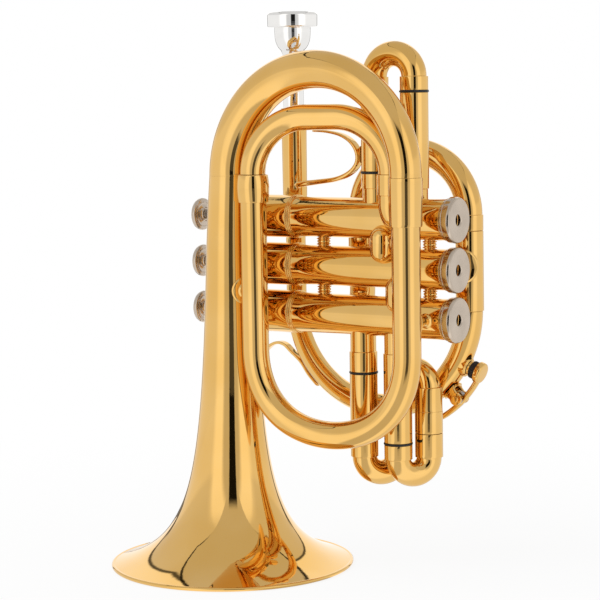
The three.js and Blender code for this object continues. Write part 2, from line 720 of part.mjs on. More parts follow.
// Third valve: two slides side by side, joined by an arch on the far side.
function thirdNearLeg(slide) {
  const gap = THIRD_NEAR_GAP_Z[slide] + GAP;
  const top = valveZ(3) - CASING_R / 2;
  const end = THIRD_NEAR_END_Z[0];
  const seam = THIRD_SEAM_Z;
  const bore = KNUCKLE_BORE;
  const profile = slide === 0
    ? [[bore, end], [SLIDE_R, end], [SLIDE_R, gap], [LEG_R, gap], [LEG_R, seam],
      [KNUCKLE_R, seam], [KNUCKLE_R, top], [bore, top], [bore, end]]
    : [[LEG_BORE, gap], [LEG_R, gap], [LEG_R, seam], [KNUCKLE_R, seam], [KNUCKLE_R, top],
      [bore, top], [bore, seam - 4], [LEG_BORE, seam - 4], [LEG_BORE, gap]];
  return turned(profile, "z", [THIRD_NEAR_X[slide], VALVE_Y, 0], SIDES).subtract(casingCut(3));
}

function thirdLink() {
  const [left, right] = THIRD_FAR;
  const span = right.clone().sub(left);
  const across = at(span.x, span.y, 0).normalize();
  const middle = left.clone().addScaledVector(span, 0.5);
  const arch = tube(
    new Route(bend(at(middle.x, middle.y, THIRD_LINK_Z), span.length() / 2, across, Z, [180, 0], 8)),
    THIRD_LINK_R, SLIDE_BORE,
  );
  return THIRD_FAR.reduce((whole, leg) => {
    const origin = [leg.x, leg.y, 0];
    return whole
      .add(sleeve(LEG_R, LEG_BORE, THIRD_FAR_GAP_Z + GAP, THIRD_LINK_Z - 2, "z", origin, SIDES))
      .add(sleeve(LEG_R, SLIDE_BORE, THIRD_LINK_Z - 2.5, THIRD_LINK_Z + 0.2, "z", origin, SIDES));
  }, arch);
}

function thirdSlide(slide) {
  const near = new THREE.Vector2(THIRD_NEAR_X[slide], VALVE_Y);
  const span = THIRD_FAR[slide].clone().sub(near);
  const across = at(span.x, span.y, 0).normalize();
  const middle = near.clone().addScaledVector(span, 0.5);
  const centre = at(middle.x, middle.y, THIRD_BEND_Z);
  const origin = [near.x, near.y, 0];
  const farOrigin = [THIRD_FAR[slide].x, THIRD_FAR[slide].y, 0];
  const bottom = THIRD_BEND_Z - 0.2;
  const nearGap = THIRD_NEAR_GAP_Z[slide] - GAP;
  const nearLegs = slide === 0
    ? [sleeve(LEG_R, LEG_BORE, bottom + 4, nearGap, "z", origin, SIDES),
      sleeve(LEG_R, SLIDE_BORE, bottom, bottom + 4.5, "z", origin, SIDES)]
    : [sleeve(LEG_R, SLIDE_BORE, bottom, nearGap, "z", origin, SIDES),
      sleeve(SLIDE_R, SLIDE_BORE, nearGap - 1, THIRD_NEAR_END_Z[1], "z", origin, SIDES)];
  const farLegs = [
    sleeve(LEG_R, SLIDE_BORE, bottom, THIRD_FAR_GAP_Z - GAP, "z", farOrigin, SIDES),
    sleeve(SLIDE_R, SLIDE_BORE, THIRD_FAR_GAP_Z - 1, THIRD_FAR_END_Z, "z", farOrigin, SIDES),
  ];
  const down = Z.clone().negate();
  return [...nearLegs, ...farLegs].reduce(
    (whole, leg) => whole.add(leg),
    slideBend(centre, span.length() / 2, across, down),
  );
}

// A hook for the little finger, soldered to the outside of the front bow.
function pinkyHook() {
  const soldered = [-131, -139, -147].map((angle) => loopPoint(FRONT_BOW_R + 6.5, angle));
  const free = [[3.6, 103.4], [-0.2, 106.5], [-4.6, 107.4], [-9.2, 105.7], [-13.2, 102.4], [-15.2, 98.6]];
  const points = [...soldered.map(({ x, z }) => [x, z]), ...free];
  return strip(points, PINKY_HOOK_THICKNESS, PINKY_HOOK_WIDTH, FAR_Y).subtract(bowBar(GAP));
}

const keyHinge = () => loopPoint(FRONT_BOW_R + KEY_HINGE_OUT, KEY_HINGE_ANGLE);

// A block that stands on the bow at the hinge's angle, between two distances from its centre line.
function keyBlock(width, from, to, length, y) {
  const middle = loopPoint(FRONT_BOW_R + (from + to) / 2, KEY_HINGE_ANGLE);
  const geometry = new THREE.BoxGeometry(to - from, width, length);
  geometry.rotateY(radians(-KEY_HINGE_ANGLE)).translate(middle.x, y, middle.z);
  return solidOf(geometry);
}

// The water key's saddle on the bow, with the screw that its lever turns on.
function keySaddle() {
  const hinge = keyHinge();
  const ear = (side) => rod(2.7, 3.1, 4.7, "y", [0, 0, 0], 10)
    .translate([0, side > 0 ? 0 : -7.8, 0])
    .translate([hinge.x, FAR_Y, hinge.z])
    .add(keyBlock(1.6, 4, KEY_HINGE_OUT, 5.4, FAR_Y + side * 3.9));
  const wrap = bowBar(GAP + 1.2).intersect(keyBlock(9.4, 2, 9, 13, FAR_Y));
  const screw = rod(1.1, -5.4, 5.4, "y", [hinge.x, FAR_Y, hinge.z], 8);
  return wrap.add(ear(1)).add(ear(-1)).subtract(bowBar(GAP)).add(screw);
}

// The lever: a curved arm that carries the cork's cup at one end and the finger's touch at the other.
function keyLever() {
  const hinge = keyHinge();
  const [first, last] = KEY_ARM_ANGLES;
  const edge = (out) => Array.from({ length: 9 }, (_, i) => {
    const point = loopPoint(FRONT_BOW_R + out, first + ((last - first) * i) / 8);
    return new THREE.Vector2(point.x, point.z);
  });
  const half = KEY_ARM_THICKNESS / 2;
  const outline = [...edge(KEY_ARM_OUT + half), ...edge(KEY_ARM_OUT - half).reverse()];
  const arm = plate(outline, KEY_ARM_WIDTH, FAR_Y);
  const knuckle = rod(2.6, -KEY_WIDTH / 2, KEY_WIDTH / 2, "y", [hinge.x, FAR_Y, hinge.z], 12);
  const web = keyBlock(KEY_WIDTH, KEY_HINGE_OUT, KEY_ARM_OUT, 4, FAR_Y);
  const bore = rod(1.1 + GAP, -4, 4, "y", [hinge.x, FAR_Y, hinge.z], 8);
  const cup = keyRod(5.4, ...CUP);
  return arm.add(knuckle).add(web).subtract(bore).add(cup).subtract(keyRod(4.9, 6, CUP_FLOOR));
}

const keyCork = () => keyRod(4.5, ...CORK);

// A round plate on a tube that lies along Z, reached by a post along the line between the two tubes.
function saddleBrace(from, radiusAt, to, toR, z, size, cutTop) {
  const line = new THREE.Vector2(to.x - from.x, to.y - from.y);
  const turn = Math.atan2(line.y, line.x);
  const along = (radius, start, end, sides) => {
    const geometry = new THREE.CylinderGeometry(radius, radius, end - start, sides);
    geometry.rotateZ(-Math.PI / 2).translate((start + end) / 2, 0, 0);
    geometry.rotateZ(turn).translate(from.x, from.y, z);
    return solidOf(geometry);
  };
  const length = line.length();
  const core = (extra, reach) => {
    const [low, high] = [z - reach, z + reach];
    const profile = [[0, low], [radiusAt(low) + extra, low], [radiusAt(high) + extra, high], [0, high]];
    return turned(profile, "z", [from.x, from.y, 0], BELL_SIDES);
  };
  const saddle = along(size.plate, 0, radiusAt(z) + 3, 14).intersect(core(GAP + 1.1, 14));
  const post = along(size.post, radiusAt(z), length - toR, 10);
  return saddle.add(post).subtract(core(GAP + 0.1, 15)).subtract(cutTop);
}

function mouthpiece() {
  const top = MOUTHPIECE_TOP;
  return turned(
    [
      [3.9, MOUTHPIECE_TIP], [4.75, MOUTHPIECE_TIP], [5.5, RECEIVER[1] + 2], [5.4, top - 22.5],
      [6.2, top - 20.5], [8.4, top - 17.3], [9.4, top - 14], [9.7, top - 8.5], [13.2, top - 7.6],
      [13.4, top - 1.6], [12.6, top - 0.4], [11.3, top], [8.6, top - 1.4], [7.6, top - 9.5],
      [4.8, top - 14.4], [1.9, top - 16.5],
      [3.9, MOUTHPIECE_TIP],
    ],
    "z", [LEAD_X, FAR_Y, 0],
  );
}

const lacquer = new THREE.MeshStandardMaterial({ color: 0xd9a441, roughness: 0.12, metalness: 1 });
const nickel = new THREE.MeshStandardMaterial({ color: 0xb9b2a8, roughness: 0.25, metalness: 1 });
const silver = new THREE.MeshStandardMaterial({ color: 0xe6e6e3, roughness: 0.08, metalness: 1 });
const steel = new THREE.MeshStandardMaterial({ color: 0x9a9a98, roughness: 0.35, metalness: 1 });
const cork = new THREE.MeshStandardMaterial({ color: 0x1d1916, roughness: 0.85, metalness: 0 });

const trumpet = new THREE.Group();

// A group of pieces that belong together, at the place from which they are measured.
function assembly(x, y, z) {
  const group = new THREE.Group();
  group.position.set(x, y, z);
  trumpet.add(group);
  return group;
}

// Adds a piece to a group. The solid is made where it lies on the horn, then measured from its group.
function add(group, name, solid, material) {
  const { vertProperties, triVerts } = solid.getMesh();
  const geometry = new THREE.BufferGeometry();
  geometry.setAttribute("position", new THREE.BufferAttribute(vertProperties, 3));
  geometry.setIndex(new THREE.BufferAttribute(triVerts, 1));
  geometry.translate(-group.position.x, -group.position.y, -group.position.z);
  geometry.computeVertexNormals();
  const mesh = new THREE.Mesh(geometry, material);
  mesh.name = name;
  group.add(mesh);
}

const bellGroup = assembly(0, 0, 0);
add(bellGroup, "bell", bell(), lacquer);
add(bellGroup, "bell_bow", bellBow(), lacquer);
add(bellGroup, "bell_bow_ferrule", bowFerrule(), lacquer);

const tailGroup = assembly(TAIL_LEG.x, TAIL_LEG.y, TAIL_BOTTOM_Z);
add(tailGroup, "tail_lower", tailLower(), lacquer);
add(tailGroup, "tail_ferrule", tailFerrule(), lacquer);
add(tailGroup, "tail_upper", tailUpper(), lacquer);
add(tailGroup, "outlet_elbow", outletElbow(), lacquer);

for (const number of [1, 2, 3]) {
  const valve = assembly(0, VALVE_Y, valveZ(number));
  add(valve, `valve_casing_${number}`, casing(number), lacquer);
  add(valve, `top_cap_${number}`, topCap(number), nickel);
  add(valve, `bottom_cap_${number}`, bottomCap(number), nickel);
  add(valve, `piston_${number}`, piston(number), steel);
  add(valve, `valve_stem_${number}`, stem(number), steel);
  add(valve, `finger_button_${number}`, button(number), nickel);
  add(valve, `valve_spring_${number}`, valveSpring(number), steel);
}

for (const upper of [1, 2]) {
  const between = assembly(0, VALVE_Y, valveZ(upper) - VALVE_PITCH / 2);
  add(between, `crossover_${upper}_${upper + 1}`, crossover(upper), lacquer);
  add(between, `casing_post_${upper}_top`, casingPost(upper, POST_X[0]), lacquer);
  add(between, `casing_post_${upper}_bottom`, casingPost(upper, POST_X[1]), lacquer);
}

const leadGroup = assembly(LEAD_X, FAR_Y, FRONT_BOW_Z);
add(leadGroup, "mouthpiece", mouthpiece(), silver);
add(leadGroup, "mouthpiece_receiver", receiver(), lacquer);
add(leadGroup, "leadpipe", leadpipe(), lacquer);
add(leadGroup, "front_bow", frontBow(), lacquer);
add(leadGroup, "loop_leg", loopLeg(), lacquer);
add(leadGroup, "pinky_hook", pinkyHook(), lacquer);

const tuningGroup = assembly(TUNING_X, FAR_Y, TUNING_GAP_Z);
add(tuningGroup, "inlet_leg", inletLeg(), lacquer);
add(tuningGroup, "main_tuning_slide", tuningSlide(), lacquer);

const firstGroup = assembly(FIRST_X[0], VALVE_Y, FIRST_GAP_Z[0]);
add(firstGroup, "first_slide_leg_left", firstSlideLeg(0), lacquer);
add(firstGroup, "first_slide_leg_right", firstSlideLeg(1), lacquer);
add(firstGroup, "first_slide", firstSlide(), lacquer);
add(firstGroup, "thumb_hook", thumbHook(), lacquer);

const secondGroup = assembly(SECOND_X[0], SECOND_GAP_Y, valveZ(2));
add(secondGroup, "second_slide_leg_left", secondSlideLeg(0), lacquer);
add(secondGroup, "second_slide_leg_right", secondSlideLeg(1), lacquer);
add(secondGroup, "second_slide", secondSlide(), lacquer);

const thirdGroup = assembly(THIRD_NEAR_X[0], VALVE_Y, THIRD_FAR_GAP_Z);
add(thirdGroup, "third_slide_leg_a", thirdNearLeg(0), lacquer);
add(thirdGroup, "third_slide_leg_b", thirdNearLeg(1), lacquer);
add(thirdGroup, "third_slide_link", thirdLink(), lacquer);
add(thirdGroup, "third_slide_a", thirdSlide(0), lacquer);
add(thirdGroup, "third_slide_b", thirdSlide(1), lacquer);

const keyGroup = assembly(...keyHinge().toArray());
add(keyGroup, "water_key_saddle", keySaddle(), lacquer);
add(keyGroup, "water_key_lever", keyLever(), lacquer);
add(keyGroup, "water_key_cork", keyCork(), cork);

const plane = (x, y) => new THREE.Vector2(x, y);
const tailHole = rod(6.9, BELL_BRACE.z - 20, BELL_BRACE.z + 20, "z", [TAIL_LEG.x, TAIL_LEG.y, 0], SIDES);
const bellAxis = plane(BELL_LEAN * BELL_BRACE.z, 0);
add(
  bellGroup, "bell_brace",
  saddleBrace(bellAxis, bellRadius, TAIL_LEG, 6.8, BELL_BRACE.z, BELL_BRACE, tailHole),
  lacquer,
);
add(
  leadGroup, "loop_brace",
  saddleBrace(
    plane(LOOP_X, FAR_Y), () => LEG_R + 0.1, plane(LOOP_X + LOOP_BRACE.lean, VALVE_Y), 0,
    valveZ(2), LOOP_BRACE, casingCut(2),
  ),
  lacquer,
);
add(
  tailGroup, "tail_brace",
  saddleBrace(
    plane(BOW_X, 0), () => TAIL_R[0], plane(BOW_X + TAIL_BRACE.lean, VALVE_Y), 0,
    valveZ(3), TAIL_BRACE, casingCut(3),
  ),
  lacquer,
);

export default trumpet;
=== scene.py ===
"""Looks of a pocket trumpet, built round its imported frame.

The shape functions work in millimetres, with Z up and the origin at the middle of the bell's mouth.
A mesh is scaled to metres when it is made.
"""

import bmesh
import bpy
import numpy as np
from mathutils import Matrix, Vector


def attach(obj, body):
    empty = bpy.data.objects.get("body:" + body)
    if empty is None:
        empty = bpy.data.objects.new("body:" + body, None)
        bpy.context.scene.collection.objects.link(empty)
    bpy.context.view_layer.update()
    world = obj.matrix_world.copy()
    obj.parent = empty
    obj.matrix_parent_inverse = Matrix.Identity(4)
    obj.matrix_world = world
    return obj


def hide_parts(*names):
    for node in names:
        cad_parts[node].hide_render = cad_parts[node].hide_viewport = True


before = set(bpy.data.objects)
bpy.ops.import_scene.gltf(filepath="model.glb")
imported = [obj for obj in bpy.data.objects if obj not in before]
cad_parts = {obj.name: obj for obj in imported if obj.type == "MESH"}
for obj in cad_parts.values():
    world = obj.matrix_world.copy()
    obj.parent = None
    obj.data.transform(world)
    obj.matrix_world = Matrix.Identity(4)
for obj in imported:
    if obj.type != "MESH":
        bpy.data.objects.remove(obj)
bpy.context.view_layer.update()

bl_info = {
    "name": "Pocket trumpet",
    "version": (1, 0, 0),
    "blender": (4, 5, 0),
    "location": "3D View > Sidebar > Trumpet",
    "description": "Builds a pocket trumpet's polished pieces and its studio",
    "category": "Add Mesh",
}

MM = 0.001
X = np.array([1.0, 0, 0])
Y = np.array([0, 1.0, 0])
Z = np.array([0, 0, 1.0])

# Valves, one above the other on one plane, each along X. A casing's wall lies at the seat's distance
# from its axis, and a tube that is shaped to a casing is first made to begin nearer, at the foot's.
VALVE_Y = 26
VALVE_Z = (176.5, 152.2, 127.9)
CASING_SEAT = 9.8
LEG_FOOT = 6.5

# Outer and bore radii of plain tube, of a slide's outer leg and of the tube that runs in it, the lengths
# on which a radius steps, the rounding of a slide's edges, and half the gap between a slide and its leg
# where no black ring of painted shade lies.
TUBE_R = 6.6
LEG_R = 7.0
LEG_BORE = 6.6
SLIDE_R = 6.25
SLIDE_BORE = 5.6
KNUCKLE_R = 6.5
KNUCKLE_BORE = 5.6
STEP = 0.1
SHARP_STEP = 0.05
SLIDE_EASE = 0.12
HALF_GAP = 0.15

# Heights and places that several pieces share.
BELL_TOP = 198
BELL_LEAN = 0.0135
BELL_TURN = 0.9
BOW_X = 104.1
BOW_CENTRE_Z = 198.9
TAIL_LEG = np.array([22.4, -8.5])
TAIL_TOP = 199
OUTLET = np.array([91.0, 9])
FAR_Y = 53
LEAD_X = 7.1
LOOP_X = 109.9
FRONT_BOW_Z = 129.6
FRONT_BOW_R = (LOOP_X - LEAD_X) / 2
TUNING_X = 47.6
TUNING_LEG_Z, TUNING_COLLAR_Z = 169.48, 169.72
FIRST_X = (72.2, 94.5)
SECOND_X = (66.5, 83.5)
THIRD_NEAR_X = (64.0, 83.6)
THIRD_FAR = (np.array([76.2, 39.2]), np.array([93.7, 39.2]))

# The camera's turn about Z, which the studio's panels follow.
CAMERA_TURN = np.radians(33)


# Profiles and routes


def eased(corners, radius=0.2, steps=4, looped=True):
    """Rounds each corner of a profile. A corner C with points A and B cut back along its two sides
    becomes the curve (1 - t)^2 A + 2 t (1 - t) C + t^2 B."""
    corner = np.array(corners, float)
    before = np.roll(corner, 1, 0) - corner
    after = np.roll(corner, -1, 0) - corner
    sizes = [np.linalg.norm(side, axis=1, keepdims=True) + 1e-9 for side in (before, after)]
    cut = np.minimum(radius, 0.42 * np.minimum(*sizes))
    t = np.linspace(0, 1, steps + 1)[None, :, None]
    start = (corner + before / sizes[0] * cut)[:, None]
    end = (corner + after / sizes[1] * cut)[:, None]
    curve = (1 - t) ** 2 * start + 2 * t * (1 - t) * corner[:, None] + t**2 * end
    if looped:
        return curve.reshape(-1, corner.shape[1])
    return np.vstack([corner[:1], curve[1:-1].reshape(-1, corner.shape[1]), corner[-1:]])


def refined(rows, step, looped=True):
    """Adds rows between a profile's rows, evenly, so that none is further than step from the next."""
    start = rows if looped else rows[:-1]
    reach = (np.roll(rows, -1, 0) - rows)[: len(start)]
    count = np.maximum(1, np.ceil(np.abs(reach[:, 0]) / step)).astype(int)
    which = np.repeat(np.arange(len(start)), count)
    share = (np.arange(count.sum()) - np.repeat(np.cumsum(count) - count, count)) / count[which]
    finer = start[which] + share[:, None] * reach[which]
    return finer if looped else np.vstack([finer, rows[-1:]])


def smooth_line(points, steps=12):
    """A Catmull-Rom line through points: on each span, half of 2b + (c - a) t + (2a - 5b + 4c - d) t^2
    + (3b - a - 3c + d) t^3, where b and c are the span's ends and a and d their neighbours."""
    p = np.array(points, float)
    p = np.vstack([2 * p[0] - p[1], p, 2 * p[-1] - p[-2]])
    a, b, c, d = p[:-3, None], p[1:-2, None], p[2:-1, None], p[3:, None]
    t = (np.arange(steps) / steps)[None, :, None]
    line = 0.5 * (
        2 * b + (c - a) * t + (2 * a - 5 * b + 4 * c - d) * t**2 + (3 * b - a - 3 * c + d) * t**3
    )
    return np.vstack([line.reshape(-1, p.shape[1]), p[-2:-1]])


def unit(vector):
    """The vector divided by its length."""
    vector = np.array(vector, float)
    return vector / np.linalg.norm(vector)


class Route:
    """A flat path of straight legs and arcs. A leg is (length, degrees turned towards side)."""

    def __init__(self, start, ahead, side, legs=((1.0, 0.0),)):
        self.start = np.array(start, float)
        self.ahead = unit(ahead)
        self.side = unit(side)
        lengths, degrees = np.array(legs, float).T
        turns = np.radians(degrees)
        self.begins = np.cumsum(lengths) - lengths
        self.heading = np.cumsum(turns) - turns
        self.curve = turns / lengths
        self.length = lengths.sum()
        steps = self._step(lengths, self.heading, self.curve)
        self.corners = np.cumsum(steps, 0) - steps

    @staticmethod
    def _step(walked, heading, curve):
        """A leg walked for a length t turns by k t, and its chord is t sin(k t / 2) / (k t / 2)."""
        turn = curve * walked
        chord = walked * np.sinc(turn / (2 * np.pi))
        middle = heading + turn / 2
        return np.stack([chord * np.cos(middle), chord * np.sin(middle)], 1)

    def at(self, s):
        """The point at the walked length s, the direction towards side there, and the one across."""
        leg = np.maximum(np.searchsorted(self.begins, s, side="right") - 1, 0)
        walked = s - self.begins[leg]
        flat = self.corners[leg] + self._step(walked, self.heading[leg], self.curve[leg])
        heading = (self.heading[leg] + self.curve[leg] * walked)[:, None]
        place = self.start + flat[:, :1] * self.ahead + flat[:, 1:] * self.side
        inward = np.cos(heading) * self.side - np.sin(heading) * self.ahead
        return place, inward, np.cross(self.ahead, self.side)


class Line:
    """A smooth flat line through points, measured by the length walked along it."""

    def __init__(self, points, across):
        self.points = smooth_line(points)
        spans = np.linalg.norm(np.diff(self.points, axis=0), axis=1)
        self.walk = np.concatenate([[0], np.cumsum(spans)])
        self.length = self.walk[-1]
        self.ahead = np.gradient(self.points, self.walk, axis=0)
        self.across = np.array(across, float)

    def at(self, s):
        """As a route's: the point, the direction square to the line, and the one across."""
        place, ahead = (
            np.stack([np.interp(s, self.walk, part[:, k]) for k in range(3)], 1)
            for part in (self.points, self.ahead)
        )
        ahead /= np.linalg.norm(ahead, axis=1, keepdims=True)
        return place, np.cross(self.across, ahead), self.across


def arc(radius, degrees):
    """One leg of a route that turns by an angle on a circle."""
    return radius * np.radians(abs(degrees)), degrees


def straight(length):
    """One leg of a route that doesn't turn."""
    return length, 0.0


def spindle(origin, axis):
    """A straight route along an axis through a point."""
    side = X if abs(np.dot(unit(axis), X)) < 0.9 else Y
    side = side - np.dot(side, unit(axis)) * unit(axis)
    return Route(origin, axis, side)


# Surfaces. Each is a grid of points, and whether its profile closes on itself.


def softened(power):
    """A section between a circle, at the power 1, and a rectangle, near 0: cos(v) and sin(v), each
    raised to the power with its sign kept."""

    def section(v):
        return tuple(np.sign(part) * np.abs(part) ** power for part in (np.cos(v), np.sin(v)))

    return section


circle, rounded, strap = softened(1), softened(0.62), softened(0.32)


def carried(route, rows, sides=56, section=circle, looped=True):
    """Carries a profile along a route. A row (s, a, b) stands for the points
    P(s) + a cos(v) N(s) + b sin(v) B for v round the section, and b is a where it isn't given."""
    rows = np.array(rows, float)
    place, inward, across = route.at(rows[:, 0])
    c, s = section(np.linspace(0, 2 * np.pi, sides, endpoint=False))
    points = (
        place[:, None]
        + (rows[:, 1, None] * c)[..., None] * inward[:, None]
        + (rows[:, -1, None] * s)[..., None] * across
    )
    return points, looped


def walled(outer, bore):
    """The closed profile of a tube: its outer rows (s, r) forwards, then its bore's backwards."""
    return list(outer) + list(bore)[::-1]


def mirrored(rows, total=0):
    """A profile's first half and the same again backwards, where a row (s, r) lies at total - s."""
    return [*rows, *((total - s, r) for s, r in reversed(rows))]


def tube(route, outer, bore, step=2.0, ease=0.2, sides=56):
    """A hollow tube along a route, from rows (s, r) of its outside and of its bore."""
    return carried(route, refined(eased(walled(outer, bore), ease), step), sides)


def turned(origin, axis, rows, ease=0.25, sides=64):
    """A hollow turned piece: a closed profile of rows (along, r) spun round an axis."""
    return carried(spindle(origin, axis), eased(rows, ease), sides)


def solid_turned(origin, axis, rows, ease=0.25, sides=64):
    """A solid turned piece: a profile that begins and ends on its axis."""
    return carried(spindle(origin, axis), eased(rows, ease, looped=False), sides, looped=False)


def band(route, thick, wide, section=strap):
    """A strap along a route with rounded ends. Near an end its half width and half thickness are those
    of a circle, w sqrt(1 - (1 - e / w)^2) at the distance e from the end. thick may be a pair, for the
    start and the end."""
    s = route.length * (1 - np.cos(np.linspace(0, np.pi, 110))) / 2
    end = np.minimum(s, route.length - s)
    first, last = thick if isinstance(thick, tuple) else (thick, thick)
    halves = (first + (last - first) * s / route.length) / 2, np.full(len(s), wide / 2)
    a, b = (half * np.sqrt(1 - (1 - np.minimum(end / half, 1)) ** 2) for half in halves)
    return carried(route, np.stack([s, a, b], 1), 28, section, looped=False)


def lug(origin, axis, rows, sides=28):
    """A short strap-shaped post, from rows (along, half thickness, half width)."""
    return carried(spindle(origin, axis), rows, sides, strap, looped=False)


def seated(shell, number, away, zone=4):
    """Shapes the end of a tube to a valve casing. At the distance w from the casing's axis, sideways,
    the wall begins at sqrt(R^2 - w^2), and the rows up to zone beyond the tube's end close up evenly."""
    points, looped = shell
    offset = points - [0, VALVE_Y, VALVE_Z[number - 1]]
    along = offset @ away
    across = np.sum((offset * [0, 1, 1]) ** 2, -1) - along**2
    wall = np.sqrt(np.maximum(CASING_SEAT**2 - across, 0))
    first = along.min()
    share = np.clip((along - first) / zone, 0, 1)
    seat = wall + share * (first + zone - wall)
    return points + np.where(along < first + zone, seat - along, 0)[..., None] * away, looped


def kept_out(shell, *numbers):
    """Moves the points that lie in one of the numbered casings straight out to its wall, by
    offset (R / distance - 1)."""
    points, looped = shell
    for number in numbers:
        offset = (points - [0, VALVE_Y, VALVE_Z[number - 1]]) * [0, 1, 1]
        distance = np.linalg.norm(offset, axis=-1, keepdims=True)
        points = points + offset * np.maximum(CASING_SEAT / distance - 1, 0)
    return points, looped


def saddle(centre, radius_at, z, turn, rows):
    """A round plate wrapped on an upright tube. A row (d, out) at the angle v lies d cos(v) round the
    tube and d sin(v) up it, at the tube's radius plus out."""
    rows = eased(rows, 0.3, looped=False)
    v = np.linspace(0, 2 * np.pi, 48, endpoint=False)
    height = z + rows[:, :1] * np.sin(v)
    skin = radius_at(height)
    angle = turn + rows[:, :1] * np.cos(v) / skin
    radius = skin + rows[:, 1:]
    places = [centre[0] + radius * np.cos(angle), centre[1] + radius * np.sin(angle), height]
    return np.stack(places, -1), False


def coil(centre, axis, radius, wire, turns, pitch):
    """A spring: a wire of a small radius along r cos(u), r sin(u), p u / 2 pi, with its ends rounded."""
    place = spindle(centre, axis)
    across = np.cross(place.ahead, place.side)
    u = np.linspace(0, 2 * np.pi * turns, int(turns * 28))[:, None]
    out = np.cos(u) * place.side + np.sin(u) * across
    middle = place.start + radius * out + (pitch * (u / (2 * np.pi) - turns / 2)) * place.ahead
    size = wire * np.sqrt(np.clip(1 - np.linspace(-1, 1, len(u)) ** 20, 0, 1))[:, None]
    v = np.linspace(0, 2 * np.pi, 10, endpoint=False)
    ring = out[:, None] * np.cos(v)[:, None] + place.ahead * np.sin(v)[:, None]
    return middle[:, None] + size[..., None] * ring, False


def u_turn(start, ahead, side, rise, radius, fall):
    """A route along one leg, round half a circle and back along the other leg."""
    return Route(start, ahead, side, [straight(rise), arc(radius, 180), straight(fall)])


def slide(route, near, far, step, bow=SLIDE_R):
    """The tube of a slide on a U-turn: an inner leg up to near, a wide leg up to the bow, the bow, and
    behind it a wide leg of the length far and an inner leg. Where near is 0 it begins with the wide leg,
    which has the wide bore."""
    rise, turned_at = route.begins[1:]
    far_end = turned_at + far
    narrow_at = rise - 4
    if near:
        rows = [(0, SLIDE_R), (near - SHARP_STEP, SLIDE_R), (near, LEG_R)]
        bore = [(0, SLIDE_BORE)]
    else:
        rows = [(0, LEG_R)]
        bore = [(0, LEG_BORE), (narrow_at, LEG_BORE), (narrow_at + STEP, SLIDE_BORE)]
    rows += [
        (rise, LEG_R), (rise + STEP, bow), (turned_at - STEP, bow), (turned_at, LEG_R),
        (far_end, LEG_R), (far_end + SHARP_STEP, SLIDE_R), (route.length, SLIDE_R),
    ]
    return tube(route, rows, [*bore, (route.length, SLIDE_BORE)], step, SLIDE_EASE)


# Meshes


def faces_of(points, looped):
    """Quads between each grid point and its neighbours, and the place of each corner on the grid."""
    rows, columns = points.shape[:2]
    i, j = np.meshgrid(np.arange(rows if looped else rows - 1), np.arange(columns), indexing="ij")
    grid = [(i, j), (i, j + 1), (i + 1, j + 1), (i + 1, j)]
    quads = np.stack([(a % rows) * columns + b % columns for a, b in grid], -1).reshape(-1, 4)
    walk = np.linalg.norm(np.diff(points, axis=0, append=points[:1]), axis=-1).mean(1)
    reach = np.concatenate([[0], np.cumsum(walk)])
    places = np.stack([np.stack([b / columns, reach[a]], -1) for a, b in grid], -2).reshape(-1, 4, 2)
    a, b, c, d = (points.reshape(-1, 3)[quads[:, k]] for k in range(4))
    volume = np.einsum("ij,ij->", a, np.cross(b, c)) + np.einsum("ij,ij->", a, np.cross(c, d))
    if volume < 0:
        quads, places = quads[:, ::-1], places[:, ::-1]
    return quads, places


def placed(name, data):
    """A new object in the scene, at the origin."""
    made = bpy.data.objects.new(name, data)
    bpy.context.scene.collection.objects.link(made)
    return made


def piece(name, shells, metal, body="horn", *nodes):
    """Makes one piece from its surfaces, closes its poles, gives it one of the finishes, and hangs it on
    a body of the frame."""
    points, quads, places, count = [], [], [], 0
    for grid, looped in shells:
        corners, spots = faces_of(grid, looped)
        points.append(grid.reshape(-1, 3))
        quads.append(corners + count)
        places.append(spots)
        count += points[-1].shape[0]
    mesh = bpy.data.meshes.new(name)
    mesh.from_pydata((np.vstack(points) * MM).tolist(), [], np.vstack(quads).tolist())
    turns = mesh.uv_layers.new(name="turning")
    turns.data.foreach_set("uv", np.vstack(places).astype(np.float32).ravel())
    work = bmesh.new()
    work.from_mesh(mesh)
    bmesh.ops.remove_doubles(work, verts=work.verts, dist=2e-7)
    work.to_mesh(mesh)
    work.free()
    mesh.polygons.foreach_set("use_smooth", np.ones(len(mesh.polygons), bool))
    mesh.set_sharp_from_angle(angle=np.radians(34))
    mesh.materials.append(finish(metal))
    made = placed(name, mesh)
    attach(made, body)
    if nodes:
        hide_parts(*nodes)


def dressed(node, *shells, metal="brass", body="horn"):
    """The piece that stands for a node of the frame, named after the node and the finish."""
    piece(f"{node}_{metal}", shells, metal, body, node)


# Finishes


class Value:
    """A shader value. Arithmetic on it adds Math nodes to its tree."""

    def __init__(self, sheet, socket):
        self.sheet = sheet
        self.socket = socket

    def __add__(self, other):
        return self.sheet.math("ADD", self, other)

    def __sub__(self, other):
        return self.sheet.math("SUBTRACT", self, other)

    def __rsub__(self, other):
        return self.sheet.math("SUBTRACT", other, self)

    def __mul__(self, other):
        return self.sheet.math("MULTIPLY", self, other)

    def __abs__(self):
        return self.sheet.math("ABSOLUTE", self)

    __radd__, __rmul__ = __add__, __mul__


